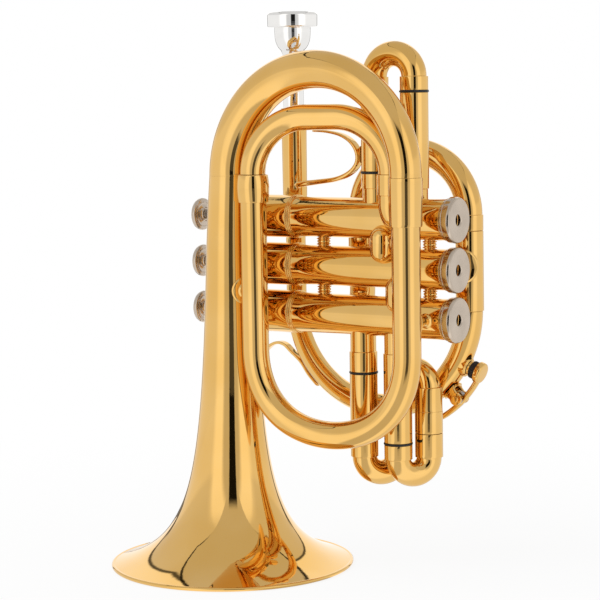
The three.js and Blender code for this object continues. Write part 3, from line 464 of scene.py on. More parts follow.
class Sheet:
    """The node tree of one material or of the world, written as expressions."""

    def __init__(self, owner):
        owner.use_nodes = True
        self.tree = owner.node_tree
        self.tree.nodes.clear()

    def node(self, kind, settings, sockets):
        """Adds a node: its settings first, then the value or the link of each named socket."""
        made = self.tree.nodes.new(kind)
        for key, value in settings.items():
            setattr(made, key, value)
        for key, value in sockets.items():
            if isinstance(value, Value):
                self.tree.links.new(value.socket, made.inputs[key])
            else:
                made.inputs[key].default_value = value
        return made

    def value(self, kind, settings, sockets, output=0):
        """Adds a node in the same way, and takes one of its outputs."""
        return Value(self, self.node(kind, settings, sockets).outputs[output])

    def math(self, operation, *values):
        """A Math node on numbers and values."""
        return self.value("ShaderNodeMath", {"operation": operation}, dict(enumerate(values)))

    def vector(self, operation, *values, output=0):
        """A Vector Math node. Its output 0 is a vector, and 1 is a number."""
        settings = {"operation": operation}
        return self.value("ShaderNodeVectorMath", settings, dict(enumerate(values)), output)

    def soft_step(self, value, low, high):
        """0 below low, 1 above high, and smooth between."""
        sockets = {"Value": value, "From Min": low, "From Max": high}
        return self.value("ShaderNodeMapRange", {"interpolation_type": "SMOOTHSTEP"}, sockets)

    def mix(self, factor, a, b):
        """From the colour a to the colour b."""
        return self.value("ShaderNodeMix", {"data_type": "RGBA"}, {0: factor, 6: (*a, 1), 7: (*b, 1)}, 2)

    def shades(self, factor, colour, times):
        """From a colour to the same colour times a number."""
        return self.mix(factor, colour, [times * part for part in colour])

    def place(self, stretch=(1, 1, 1)):
        """Object coordinates in metres, each scaled by its stretch."""
        spot = self.value("ShaderNodeTexCoord", {}, {}, "Object")
        return self.value("ShaderNodeMapping", {}, {"Vector": spot, "Scale": stretch})

    def noise(self, where, scale, detail=2.0):
        """Noise at a place, about so many blots to the metre."""
        return self.value("ShaderNodeTexNoise", {}, {"Vector": where, "Scale": scale, "Detail": detail})

    def turning(self, lines):
        """Fine rings left by a lathe: noise read along the profile, with so many to the millimetre."""
        spot = self.value("ShaderNodeUVMap", {"uv_map": "turning"}, {})
        along = self.value("ShaderNodeSeparateXYZ", {}, {"Vector": spot}, "Y")
        sockets = {"W": along * lines, "Scale": 1.0, "Detail": 1.0}
        return self.value("ShaderNodeTexNoise", {"noise_dimensions": "1D"}, sockets)

    def bump(self, height, depth):
        """A relief of a depth in metres."""
        sockets = {"Height": height, "Distance": depth, "Strength": 1.0}
        return self.value("ShaderNodeBump", {}, sockets, "Normal")

    def rays(self, *kinds):
        """For each kind, 1 for a ray of that kind and 0 for any other."""
        path = self.node("ShaderNodeLightPath", {}, {})
        return [Value(self, path.outputs[f"Is {kind} Ray"]) for kind in kinds]


def lacquered_brass(sheet, look):
    """Polished brass under clear lacquer: a slow drift between a paler and a deeper gold, faint wiping
    marks in the gloss and a very shallow ripple."""
    drift = sheet.noise(sheet.place(), 34)
    wipes = sheet.noise(sheet.place((1, 1, 0.12)), 900, 3)
    ripple = sheet.noise(sheet.place(), 260)
    return {
        "Base Color": sheet.mix(sheet.soft_step(drift, 0.3, 0.72), look.lacquer, look.deep_lacquer),
        "Metallic": 1.0,
        "Roughness": look.lacquer_roughness + sheet.soft_step(wipes, 0.45, 0.8) * 0.035,
        "Normal": sheet.bump(ripple, 0.000012),
        "Coat Weight": 0.1,
        "Coat Roughness": 0.02,
    }


def turned_nickel(sheet, look):
    """Nickel plate over turned brass: warm grey, with fine rings and a cloudy gloss."""
    cloud = sheet.noise(sheet.place(), 120)
    rings = sheet.turning(5.0)
    return {
        "Base Color": sheet.shades(sheet.soft_step(cloud + rings * 0.4, 0.4, 1.0), look.nickel, 0.86),
        "Metallic": 1.0,
        "Roughness": 0.1 + rings * 0.06 + cloud * 0.04,
        "Normal": sheet.bump(rings, 0.000005),
    }


def silver_plate(sheet, look):
    """Bright silver with faint handling marks."""
    marks = sheet.noise(sheet.place(), 300, 4)
    cloud = sheet.noise(sheet.place(), 60)
    return {
        "Base Color": sheet.shades(sheet.soft_step(cloud, 0.35, 0.75), look.silver, 0.95),
        "Metallic": 1.0,
        "Roughness": 0.03 + sheet.soft_step(marks, 0.5, 0.8) * 0.05,
        "Normal": sheet.bump(sheet.turning(1.5), 0.00001),
    }


def ground_steel(sheet, look):
    """Ground steel of the pistons, stems and springs, with grinding marks round the axis X."""
    marks = sheet.noise(sheet.place((1, 0.05, 0.05)), 4000, 2)
    cloud = sheet.noise(sheet.place(), 90)
    return {
        "Base Color": sheet.shades(sheet.soft_step(cloud, 0.3, 0.8), look.steel, 0.8),
        "Metallic": 1.0,
        "Roughness": 0.2 + marks * 0.14,
        "Normal": sheet.bump(marks, 0.00001),
    }


def black_cork(sheet, look):
    """Dark cork: close grains of two browns near black, each standing a little proud."""
    sockets = {"Vector": sheet.place(), "Scale": 1500.0}
    grains = sheet.value("ShaderNodeTexVoronoi", {}, sockets, "Distance")
    shade = sheet.soft_step(grains, 0.1, 0.6)
    return {
        "Base Color": sheet.shades(shade, look.cork, 2.2),
        "Roughness": 0.72 + shade * 0.15,
        "Normal": sheet.bump(grains, 0.00006),
    }


def painted_shade_finish(sheet, look):
    """Near-black of the rings painted as shade in the slides' gaps, with faint lighter blots."""
    dust = sheet.soft_step(sheet.noise(sheet.place(), 700, 3), 0.45, 0.8)
    return {
        "Base Color": sheet.mix(dust, look.rubber, (0.02, 0.019, 0.018)),
        "Roughness": 0.42 + dust * 0.25,
        "Normal": sheet.bump(dust, 0.00001),
    }


# Each finish, and the record's slot that its pieces belong to.
FINISHES = {
    "brass": (lacquered_brass, "lacquered_brass"),
    "nickel": (turned_nickel, "nickel"),
    "silver": (silver_plate, "silver_plate"),
    "steel": (ground_steel, "valve_steel"),
    "black": (black_cork, "cork"),
    # The near-black finish of the rings painted as shade in the slides' gaps.
    "rubber": (painted_shade_finish, "cork"),
}


def finish(metal):
    """The finish of a metal or of the black parts, made when it is first asked for: a principled
    material whose sockets the finish's function gives."""
    sockets = FINISHES[metal][0]
    name = sockets.__name__.replace("_", " ")
    made = bpy.data.materials.get(name)
    if made:
        return made
    material = bpy.data.materials.new(name)
    sheet = Sheet(material)
    look = bpy.context.scene.trumpet_finish
    shader = sheet.value("ShaderNodeBsdfPrincipled", {}, sockets(sheet, look))
    sheet.node("ShaderNodeOutputMaterial", {}, {"Surface": shader})
    return material


# Settings


def colour(name, description, default):
    """A setting for a colour."""
    return bpy.props.FloatVectorProperty(
        name=name, description=description, default=default, subtype="COLOR", size=3, min=0, max=1
    )


def length(name, description, default):
    """A setting for a length in metres."""
    return bpy.props.FloatProperty(
        name=name, description=description, default=default, unit="LENGTH", precision=4, min=0
    )


def share(name, description, default, most=1.0):
    """A setting for a plain number."""
    return bpy.props.FloatProperty(name=name, description=description, default=default, min=0, max=most)


class TrumpetFinish(bpy.types.PropertyGroup):
    """Colours and gloss of the metals."""

    lacquer: colour("Lacquer", "Colour of the lacquered brass", (0.85, 0.53, 0.175))
    deep_lacquer: colour("Deep lacquer", "Deeper gold that it drifts to", (0.82, 0.49, 0.14))
    lacquer_roughness: share("Lacquer roughness", "Roughness of the polished lacquer", 0.028)
    nickel: colour("Nickel", "Colour of the caps and buttons", (0.63, 0.53, 0.43))
    silver: colour("Silver", "Colour of the mouthpiece", (0.93, 0.915, 0.89))
    steel: colour("Steel", "Colour of pistons, stems and springs", (0.55, 0.54, 0.52))
    cork: colour("Cork", "Colour of the water key's cork", (0.010, 0.008, 0.007))
    # Near-black of the rings painted as shade in the slides' gaps.
    rubber: colour("Gap shade colour", "Colour of the slides' bumper rings", (0.006, 0.006, 0.006))


class TrumpetBell(bpy.types.PropertyGroup):
    """The bell's flare."""

    rim: length("Rim", "Radius at the rim, inside its bead", 0.061)
    throat: length("Throat", "Radius that the flare runs down to", 0.0076)
    wall: length("Wall", "Thickness of the brass", 0.0007)
    bead: length("Bead", "Radius of the rolled rim", 0.001)


class TrumpetTubes(bpy.types.PropertyGroup):
    """The tubes and their joints."""

    seam: length("Seam", "Gap between two soldered pieces", 0.00012)
    # Thickness of the rings painted as shade in the slides' gaps, which also sets those gaps.
    bumper: length("Gap shade", "Thickness of a slide's bumper ring", 0.0013)
    bow: length("Bow", "Radius of the bell bow where it leaves the bell", 0.01108)
    hook: length("Hook", "Thickness of the little finger's hook", 0.0016)


class TrumpetStudio(bpy.types.PropertyGroup):
    """The light that the metal reflects."""

    dim: share("Dim panel", "Level of the cards beside the camera", 0.66, 4)
    near: share("Bright panel", "Level of the panels next to them", 1.2, 4)
    side: share("Side panels", "Level of the panels to the left and right", 0.93, 4)
    ceiling: share("Ceiling", "Level of the strip overhead", 0.66, 4)
    back: share("Back", "Level of the white wall behind", 1.15, 4)
    slit: share("Slit", "Half width of the dark slit where the camera stands", 0.16)


# Operators, one for each piece or group of like pieces


class Builder:
    """What the operators share: run the build, and let a fault stop the script."""

    bl_options = {"REGISTER", "UNDO"}

    def execute(self, context):
        self.build(context.scene)
        return {"FINISHED"}


class TRUMPET_OT_bell(Builder, bpy.types.Operator):
    """The bell: a flare with a rolled rim"""

    bl_idname = "trumpet.bell"
    bl_label = "Bell"

    def build(self, scene):
        size = scene.trumpet_bell
        foot, wall, bead_r = 1.85, size.wall / MM, size.bead / MM
        z = foot + (BELL_TOP - foot) * np.linspace(0, 1, 120) ** 1.9
        outer = bell_radius(z)
        slope = np.gradient(outer, z)
        stretch = np.hypot(1, slope)
        inner = np.stack([z + wall * slope / stretch, outer - wall / stretch], 1)
        lining = inner[(inner[:, 0] > 0.5) & (z < BELL_TOP - 0.3)][::-1]
        turn = np.radians(np.linspace(118, -100, 20))
        middle = size.rim / MM - 0.2
        # The rolled rim, from the lining round its edge to the outside.
        bead = np.stack([bead_r + bead_r * np.sin(turn), middle + bead_r * np.cos(turn)], 1)
        end = [[BELL_TOP, outer[-1] - wall]]
        rows = np.vstack([bead[::-1], np.stack([z, outer], 1), end, lining])
        points, looped = carried(spindle((0, 0, 0), Z), rows, 168)
        z = points[..., 2:]
        dressed("bell", (points + (BELL_LEAN * z + BELL_TURN * near_bow(z)) * X, looped))


def near_bow(z):
    """How far the bell has gone over into its bow at a height: ((z - 150) / 48) ^ 2, and 0 below."""
    return np.clip((z - 150) / (BELL_TOP - 150), 0, 1) ** 2


def bell_radius(z):
    """The bell's outer radius at a height: throat + (rim - throat) (15.6 / (z + 14)) ^ 1.01, and up to
    0.35 less near the bow."""
    size = bpy.context.scene.trumpet_bell
    throat, rim = size.throat / MM, size.rim / MM
    return throat + (rim - throat) * (15.6 / (z + 14)) ** 1.01 - 0.35 * near_bow(z)


def ferrule(place, low, high, rows):
    """A ring round an upright tube, from (height, radius) rows of its outside."""
    bore = rows[0][1] - 0.4
    return turned((*place, 0), Z, walled(rows, [(low, bore), (high, bore)]), 0.15)


class TRUMPET_OT_bell_bow(Builder, bpy.types.Operator):
    """The bell bow and its ferrule"""

    bl_idname = "trumpet.bell_bow"
    bl_label = "Bell bow"

    def build(self, scene):
        size = scene.trumpet_tubes
        start = BELL_TOP + 0.01
        rise = BOW_CENTRE_Z - start
        left = BELL_LEAN * BELL_TOP + BELL_TURN
        route = u_turn((left, 0, start), Z, X, rise, (BOW_X - left) / 2, rise + 1)
        end = route.length - 1
        outer = [(0, size.bow / MM), (0.25, 10), (0.5, 9.15), (0.72, 8.2), (1, 7.85)]
        rows = smooth_line([(end * share, radius) for share, radius in outer], 8)
        points, looped = tube(route, rows, [(s, r - 0.6) for s, r in rows], 1.6, 0.02)
        above = np.maximum(points[..., 2:] - BOW_CENTRE_Z, 0)
        dressed("bell_bow", (points + 0.0185 * above * Z, looped))
        low, high = 174.7, BELL_TOP - size.seam / MM / 2
        rows = [(low, 7.85), (low + 1.2, 7.95), (high - 1.5, 8.3), (high, 8.26)]
        dressed("bell_bow_ferrule", ferrule((BOW_X, 0), low, high, rows))


class TRUMPET_OT_tail(Builder, bpy.types.Operator):
    """The tail: the long loop from the bell bow to valve 1"""

    bl_idname = "trumpet.tail"
    bl_label = "Tail"

    def build(self, scene):
        span = TAIL_LEG - [BOW_X, 0]
        radius = np.linalg.norm(span) / 2
        across = np.array([*unit(span), 0])
        start, end, centre = 190, 190.4, 71.6 + radius
        route = u_turn((BOW_X, 0, start), -Z, across, start - centre, radius, end - centre)
        rows = [(0, 7.1), (route.length, 6.5)]
        points, looped = tube(route, rows, [(0, 5.7), (route.length, 5.7)], 1.8)
        # The round bottom is squared a little: at the angle a it goes out by 1.1 sin(2 a)^2.
        offset = points - np.array([*(TAIL_LEG + [BOW_X, 0]) / 2, centre])
        angle = np.arctan2(np.minimum(offset[..., 2], 0), offset @ across)[..., None]
        out = 1.1 * np.sin(2 * angle) ** 2 * (np.cos(angle) * across + np.sin(angle) * Z)
        dressed("tail_lower", (points + out, looped))

        low = 185.4
        up = np.linspace(0, 1, 18)
        rows = list(zip(low + (TAIL_TOP - low) * up, 7.4 + 0.65 * np.sin(np.pi * up) ** 0.8))
        dressed("tail_ferrule", ferrule(TAIL_LEG, low, TAIL_TOP, rows))

        span = OUTLET - TAIL_LEG
        corner = 27.8
        top = np.linalg.norm(span) - 2 * corner
        legs = [arc(corner, 90), straight(top), arc(corner, 90), straight(1)]
        start = TAIL_TOP + scene.trumpet_tubes.seam / MM
        route = Route((*TAIL_LEG, start), Z, (*unit(span), 0), legs)
        end = route.length - 1
        dressed("tail_upper", tube(route, [(0, 6.3), (end, 6.3)], [(0, 5.6), (end, 5.6)], 1.3))

        drop, corner = 14, 8.5
        legs = [straight(drop), arc(corner, 90), straight(8)]
        end = drop + legs[1][0] + 2
        rows = [(0, 6.9), (9.9, 6.9), (10.1, 6.4), (end, 6.4)]
        route = Route((*OUTLET, TAIL_TOP), -Z, Y, legs)
        shell = tube(route, rows, [(0, 5.7), (end, 5.6)], 1, SLIDE_EASE)
        dressed("outlet_elbow", seated(shell, 1, -Y))


class TRUMPET_OT_casings(Builder, bpy.types.Operator):
    """The three valve casings, each with a ribbed ring at its joint"""

    bl_idname = "trumpet.casings"
    bl_label = "Valve casings"

    def build(self, scene):
        outer = [
            (-1.8, 10.7), (-1.5, 10.85), (24.8, 10.85), (25.05, 10.5), (25.3, 10.75), (25.7, 10.98),
            (26.1, 10.75), (26.3, 10.45), (26.5, 10.75), (26.9, 10.95), (27.3, 10.6), (27.5, 10.05),
            (112.6, 10.05),
        ]
        rows = refined(eased(walled(outer, [(-1.8, 9.4), (112.6, 9.4)]), 0.22, 5), 4)
        for number, z in enumerate(VALVE_Z, 1):
            dressed(f"valve_casing_{number}", carried(spindle((0, VALVE_Y, z), X), rows, 72))


def knurled(shell, low, high, count, depth):
    """Cuts ridges along the axis X into a turned shell: the radius loses depth times
    (1 - cos(count v)) / 2 where x lies between low and high."""
    points, looped = shell
    middle = points.mean(1, keepdims=True) * [0, 1, 1]
    offset = points * [0, 1, 1] - middle
    radius = np.linalg.norm(offset, axis=-1, keepdims=True)
    angle = np.arctan2(offset[..., 2:], offset[..., 1:2])
    inside = (points[..., :1] > low) & (points[..., :1] < high) & (radius > 9.5)
    ridge = depth * (1 - np.cos(count * angle)) / 2
    return points - np.where(inside, offset / np.maximum(radius, 1e-6) * ridge, 0), looped


class TRUMPET_OT_caps(Builder, bpy.types.Operator):
    """The caps at both ends of the valves, the stems and the finger buttons"""

    bl_idname = "trumpet.caps"
    bl_label = "Caps and buttons"

    def build(self, scene):
        top = [
            (-14.5, 3.1), (-14.5, 8.9), (-13.9, 9.8), (-12.2, 11.0), (-11.4, 11.3), (-10.4, 10.9),
            (-9.8, 11.3), (-3.6, 11.3), (-3.0, 10.9), (-2.4, 11.25), (-2, 11.1), (-2, 9.7), (-8, 9.7),
            (-8, 3.1),
        ]
        bottom = [
            (112.8, 9.7), (112.8, 10.3), (113.1, 10.45), (114.0, 10.45), (114.3, 10.3), (114.5, 10.9),
            (114.9, 11.25), (117.7, 11.3), (118.7, 10.75), (119.0, 10.2), (118.7, 3.3), (118.2, 2.6),
            (117.6, 2.6), (117.6, 9.7),
        ]
        stem = [(-30.9, 0), (-30.9, 2.6), (4, 2.6), (5, 7.6), (7.7, 7.6), (7.7, 0)]
        button = [
            (-34.1, 0), (-34.2, 4.6), (-34.6, 6.2), (-35.1, 7.2), (-34.8, 8.0), (-33.7, 8.4),
            (-32.7, 8.3), (-32.2, 7.7), (-32.1, 7.0), (-31.7, 6.6), (-32.3, 6.0), (-32.2, 5.2),
            (-31.9, 3.9), (-31.3, 3.3), (-30.9, 3.2), (-31.0, 0),
        ]
        for number, z in enumerate(VALVE_Z, 1):
            place, body = (0, VALVE_Y, z), f"valve_{number}"
            shell = carried(spindle(place, X), refined(eased(top, 0.2), 0.6), 180)
            dressed(f"top_cap_{number}", knurled(shell, -9.6, -3.8, 60, 0.3), metal="nickel")
            shell = carried(spindle(place, X), eased(bottom, 0.25, 5), 72)
            dressed(f"bottom_cap_{number}", shell, metal="nickel")
            shell = solid_turned(place, X, stem, 0.3, 40)
            dressed(f"valve_stem_{number}", shell, metal="steel", body=body)
            shell = solid_turned(place, X, button, 0.3, 72)
            dressed(f"finger_button_{number}", shell, metal="nickel", body=body)


class TRUMPET_OT_knuckles(Builder, bpy.types.Operator):
    """The crossover knuckles and the turned posts between the casings"""

    bl_idname = "trumpet.knuckles"
    bl_label = "Knuckles and posts"

    def build(self, scene):
        turn = np.radians(np.linspace(-90, 90, 25))
        reach = 3.3 * np.sign(np.sin(turn)) + 5.7 * np.sin(turn)
        bulb = np.stack([reach, 5.7 * np.cos(turn)], 1)
        bulb[[0, -1], 1] = 0
        half = [
            (-4.4, 0), (-4.4, 4.2), (-2.9, 4.1), (-2.5, 3.7), (-2.2, 2.7), (-1.9, 2.7), (-1.6, 3.5),
            (-1.2, 3.6), (-0.8, 2.7), (-0.4, 3.3),
        ]
        post = refined(eased(mirrored(half), 0.2, looped=False), 0.3, False)
        for upper, x in ((1, 80.4), (2, 89.0)):
            z = (VALVE_Z[upper - 1] + VALVE_Z[upper]) / 2
            shell = carried(spindle((x, VALVE_Y - 9, z), Z), bulb, looped=False)
            dressed(f"crossover_{upper}_{upper + 1}", kept_out(shell, upper, upper + 1))
            for end, post_x in (("top", 41.5), ("bottom", 102.5)):
                shell = carried(spindle((post_x, VALVE_Y, z), Z), post, 48, looped=False)
                dressed(f"casing_post_{upper}_{end}", kept_out(shell, upper, upper + 1))


def bumper(name, place, scene):
    """A near-black ring on the inner tube, in the gap between a slide's leg and its collar: painted
    shade.
    """
    thick = scene.trumpet_tubes.bumper / MM
    turn = np.radians(np.linspace(0, 360, 16, endpoint=False))
    middle, half_width = SLIDE_R + 0.42, 0.62
    rows = np.stack([thick / 2 * np.sin(turn), middle + half_width * np.cos(turn)], 1)
    # Its finish is the near-black of painted shade.
    piece(name, [carried(spindle(place, Z), rows)], "rubber")


def valve_leg(name, place, axis, rows, bore, number, away):
    """A slide's fixed leg, with its end shaped to the numbered casing."""
    rows = refined(eased(walled(rows, bore), SLIDE_EASE), 1.5)
    dressed(name, seated(carried(spindle(place, axis), rows), number, away))


class TRUMPET_OT_leadpipe(Builder, bpy.types.Operator):
    """The leadpipe loop: receiver, leadpipe, front bow, its two legs and the main tuning slide"""

    bl_idname = "trumpet.leadpipe"
    bl_label = "Leadpipe loop"

    def build(self, scene):
        half = scene.trumpet_tubes.seam / MM / 2
        rows = [(184, 6.1), (185.6, 6.4), (226, 6.62), (226.4, 6.82), (230.2, 6.85), (230.9, 6.6)]
        shell = turned((LEAD_X, FAR_Y, 0), Z, walled(rows, [(184, 5.6), (230.9, 6.0)]), 0.2)
        dressed("mouthpiece_receiver", shell)

        top = 203
        drop = top - FRONT_BOW_Z - half
        route = Route((LEAD_X, FAR_Y, top), -Z, X)
        dressed("leadpipe", tube(route, [(0, 5.1), (drop, 5.3)], [(0, 4.2), (drop, 4.4)], 6))

        legs = [arc(FRONT_BOW_R, 180), straight(1)]
        end = legs[0][0]
        route = Route((LEAD_X, FAR_Y, FRONT_BOW_Z - half), -Z, X, legs)
        dressed("front_bow", tube(route, [(0, 5.3), (end, TUBE_R)], [(0, 4.4), (end, 5.5)], 1.6))

        low, high = FRONT_BOW_Z + half, TUNING_LEG_Z
        rows = walled([(low, LEG_R + 0.1), (high, LEG_R)], [(low, LEG_BORE), (high, LEG_BORE)])
        dressed("loop_leg", turned((LOOP_X, FAR_Y, 0), Z, rows, 0.15))

        corner = 9.5
        drop = high - VALVE_Z[2] - corner
        legs = [straight(drop), arc(corner, 90), straight(20)]
        end = drop + legs[1][0] + (FAR_Y - corner - VALVE_Y - 7)
        rows = [(0, LEG_R), (drop - 2.1, LEG_R), (drop - 1.9, TUBE_R), (end, TUBE_R)]
        bore = [(0, LEG_BORE), (drop - 5, LEG_BORE), (drop - 4.9, KNUCKLE_BORE), (end, KNUCKLE_BORE)]
        shell = tube(Route((TUNING_X, FAR_Y, high), -Z, -Y, legs), rows, bore, 1.2, SLIDE_EASE)
        dressed("inlet_leg", seated(shell, 3, Y))

        foot, bend_z, free_end = 146, 177.4, 134
        rise, near = bend_z - foot, TUNING_COLLAR_Z - foot
        radius = (LOOP_X - TUNING_X) / 2
        route = u_turn((TUNING_X, FAR_Y, foot), Z, X, rise, radius, bend_z - free_end)
        shell = slide(route, near, rise - near, 1.4, TUBE_R)
        dressed("main_tuning_slide", shell, body="tuning_slide")


class TRUMPET_OT_first_slide(Builder, bpy.types.Operator):
    """The first valve's slide, its two fixed legs and the thumb hook"""

    bl_idname = "trumpet.first_slide"
    bl_label = "First slide"

    def build(self, scene):
        # Half the thickness of a ring painted as shade in a slide's gap, which sets the gap.
        half = scene.trumpet_tubes.bumper / MM / 2
        foot, seam, bend_z, free_end = VALVE_Z[0] + LEG_FOOT, 191.4, 245.9, 200
        gaps, inner_top, narrow_z = (199.2, 238.7), 236, 195
        # The left leg carries an inner tube, which runs up into the slide.
        for side, name in enumerate(("left", "right")):
            gap = gaps[side] - half
            top = (inner_top, gap)[side]
            rows = [(foot, KNUCKLE_R), (seam - STEP, KNUCKLE_R), (seam + STEP, LEG_R), (gap, LEG_R)]
            if side == 0:
                rows += [(gap + SHARP_STEP, SLIDE_R), (top, SLIDE_R)]
            wide = (KNUCKLE_BORE, LEG_BORE)[side]
            bore = [(foot, KNUCKLE_BORE), (narrow_z, KNUCKLE_BORE), (narrow_z + 0.4, wide), (top, wide)]
            x = FIRST_X[side]
            valve_leg(f"first_slide_leg_{name}", (x, VALVE_Y, 0), Z, rows, bore, 1, Z)
            # A near-black ring painted as the shade in the gap at the end of this leg.
            bumper(f"first_slide_bumper_{side + 1}", (x, VALVE_Y, gaps[side]), scene)

        low = gaps[0] + half
        radius = (FIRST_X[1] - FIRST_X[0]) / 2
        route = u_turn((FIRST_X[0], VALVE_Y, low), Z, X, bend_z - low, radius, bend_z - free_end)
        dressed("first_slide", slide(route, 0, bend_z - gaps[1] - half, 1.2), body="slide_1")

        line = [
            (36, 219.8), (45, 219.3), (53.5, 217.4), (59.6, 213.6), (62.6, 208.4), (62.1, 203.3),
            (57.8, 198.9), (50, 195.7), (38, 194), (28, 192.7), (25.6, 191.2),
        ]
        hook = band(Line([(x, VALVE_Y, z) for x, z in line], Y), (1.3, 3.0), 5.4, section=rounded)
        rows = [(0, 0, 0), (0.05, 1.2, 2.6), (1.6, 1.3, 3.2), (2.9, 2.1, 4.2), (3.3, 2.2, 4.3)]
        stub = lug((61.6, VALVE_Y, 208), X, [*rows, (3.35, 0, 0)])
        dressed("thumb_hook", hook, stub, body="slide_1")


class TRUMPET_OT_second_slide(Builder, bpy.types.Operator):
    """The second valve's short slide and its two fixed legs"""

    bl_idname = "trumpet.second_slide"
    bl_label = "Second slide"

    def build(self, scene):
        z = VALVE_Z[1]
        foot, seam, gap, bend_y, start = VALVE_Y + LEG_FOOT, 37.4, 52, 56, 38.6
        end, narrow = gap - HALF_GAP, 38
        bore = [(foot, KNUCKLE_BORE), (narrow, KNUCKLE_BORE), (narrow + STEP, LEG_BORE), (end, LEG_BORE)]
        rows = [(foot, KNUCKLE_R), (seam - STEP, KNUCKLE_R), (seam + STEP, LEG_R), (end, LEG_R)]
        for side, name in enumerate(("left", "right")):
            valve_leg(f"second_slide_leg_{name}", (SECOND_X[side], 0, z), Y, rows, bore, 2, Y)
        rise, near = bend_y - start, gap + HALF_GAP - start
        route = u_turn((SECOND_X[0], start, z), Y, X, rise, (SECOND_X[1] - SECOND_X[0]) / 2, rise)
        dressed("second_slide", slide(route, near, rise - near, 1.1), body="slide_2")


class TRUMPET_OT_third_slides(Builder, bpy.types.Operator):
    """The third valve's two slides, their fixed legs and the arch between them"""

    bl_idname = "trumpet.third_slides"
    bl_label = "Third slides"

    def build(self, scene):
        # Half the thickness of a ring painted as shade in a slide's gap, which sets the gap.
        half = scene.trumpet_tubes.bumper / MM / 2
        head, near_gaps = VALVE_Z[2] - LEG_FOOT, (99.2, 64.7)
        far_gap, bend_z, link_z, seam = 68.9, 56.8, 92, 109.8
        inner_low, collar_z, near_start, far_start, narrow = 63, 80, 102, 88.6, seam - 4
        # The first of these legs carries an inner tube, which runs down into its slide.
        for side, name in enumerate("ab"):
            gap = near_gaps[side] + half
            low = (inner_low, gap)[side]
            inner = (KNUCKLE_BORE, LEG_BORE)[side]
            rows = [(gap, LEG_R), (seam - STEP, LEG_R), (seam + STEP, KNUCKLE_R), (head, KNUCKLE_R)]
            if side == 0:
                rows = [(low, SLIDE_R), (gap - SHARP_STEP, SLIDE_R)] + rows
            bore = [(low, inner), (narrow, inner), (narrow + STEP, KNUCKLE_BORE), (head, KNUCKLE_BORE)]
            x = THIRD_NEAR_X[side]
            valve_leg(f"third_slide_leg_{name}", (x, VALVE_Y, 0), Z, rows, bore, 3, -Z)
            # A near-black ring painted as the shade in the gap at the end of this leg.
            bumper(f"third_slide_bumper_{side + 1}", (x, VALVE_Y, near_gaps[side]), scene)

        span = THIRD_FAR[1] - THIRD_FAR[0]
        radius = np.linalg.norm(span) / 2
        low = far_gap + HALF_GAP
        rise, collar = link_z - low, collar_z - low
        route = u_turn((*THIRD_FAR[0], low), Z, (*unit(span), 0), rise, radius, rise)
        leg, bow, bow_bore, bow_start = LEG_R - 0.12, 5.85, 5.4, rise - 2
        half_rows = [(0, LEG_R), (collar, LEG_R), (collar + STEP, leg), (rise, leg), (rise + STEP, bow)]
        half_bore = [(0, LEG_BORE), (bow_start, LEG_BORE), (bow_start + STEP, bow_bore)]
        rows, bore = (mirrored(part, route.length) for part in (half_rows, half_bore))
        dressed("third_slide_link", tube(route, rows, bore, 1.1, 0.1))

        for side, name in enumerate("ab"):
            near = np.array([THIRD_NEAR_X[side], VALVE_Y])
            span = THIRD_FAR[side] - near
            radius = np.linalg.norm(span) / 2
            gap = near_gaps[side] - half
            start = (gap, near_start)[side]
            down, up = start - bend_z, far_start - bend_z
            route = u_turn((*near, start), -Z, (*unit(span), 0), down, radius, up)
            shell = slide(route, start - gap, far_gap - HALF_GAP - bend_z, 1.1)
            dressed(f"third_slide_{name}", shell, body=f"slide_3{name}")


def on_bow(radius, degrees):
    """A point on the plane of the front bow, by its distance and angle from the bow's middle."""
    angle = np.radians(degrees)
    middle = (LEAD_X + LOOP_X) / 2
    x, z = middle + radius * np.cos(angle), FRONT_BOW_Z + radius * np.sin(angle)
    return np.stack(np.broadcast_arrays(x, FAR_Y, z), -1).astype(float)


class TRUMPET_OT_pinky_hook(Builder, bpy.types.Operator):
    """The little finger's hook on the front bow"""

    bl_idname = "trumpet.pinky_hook"
    bl_label = "Little finger's hook"

    def build(self, scene):
        soldered = on_bow(FRONT_BOW_R + 6.45, np.array([-131, -139, -147]))
        free = [(3.6, 103.4), (-0.2, 106.5), (-4.6, 107.4), (-9.2, 105.7), (-13.2, 102.4), (-15.2, 98.6)]
        line = Line(np.vstack([soldered, [(x, FAR_Y, z) for x, z in free]]), Y)
        dressed("pinky_hook", band(line, scene.trumpet_tubes.hook / MM, 4.5))


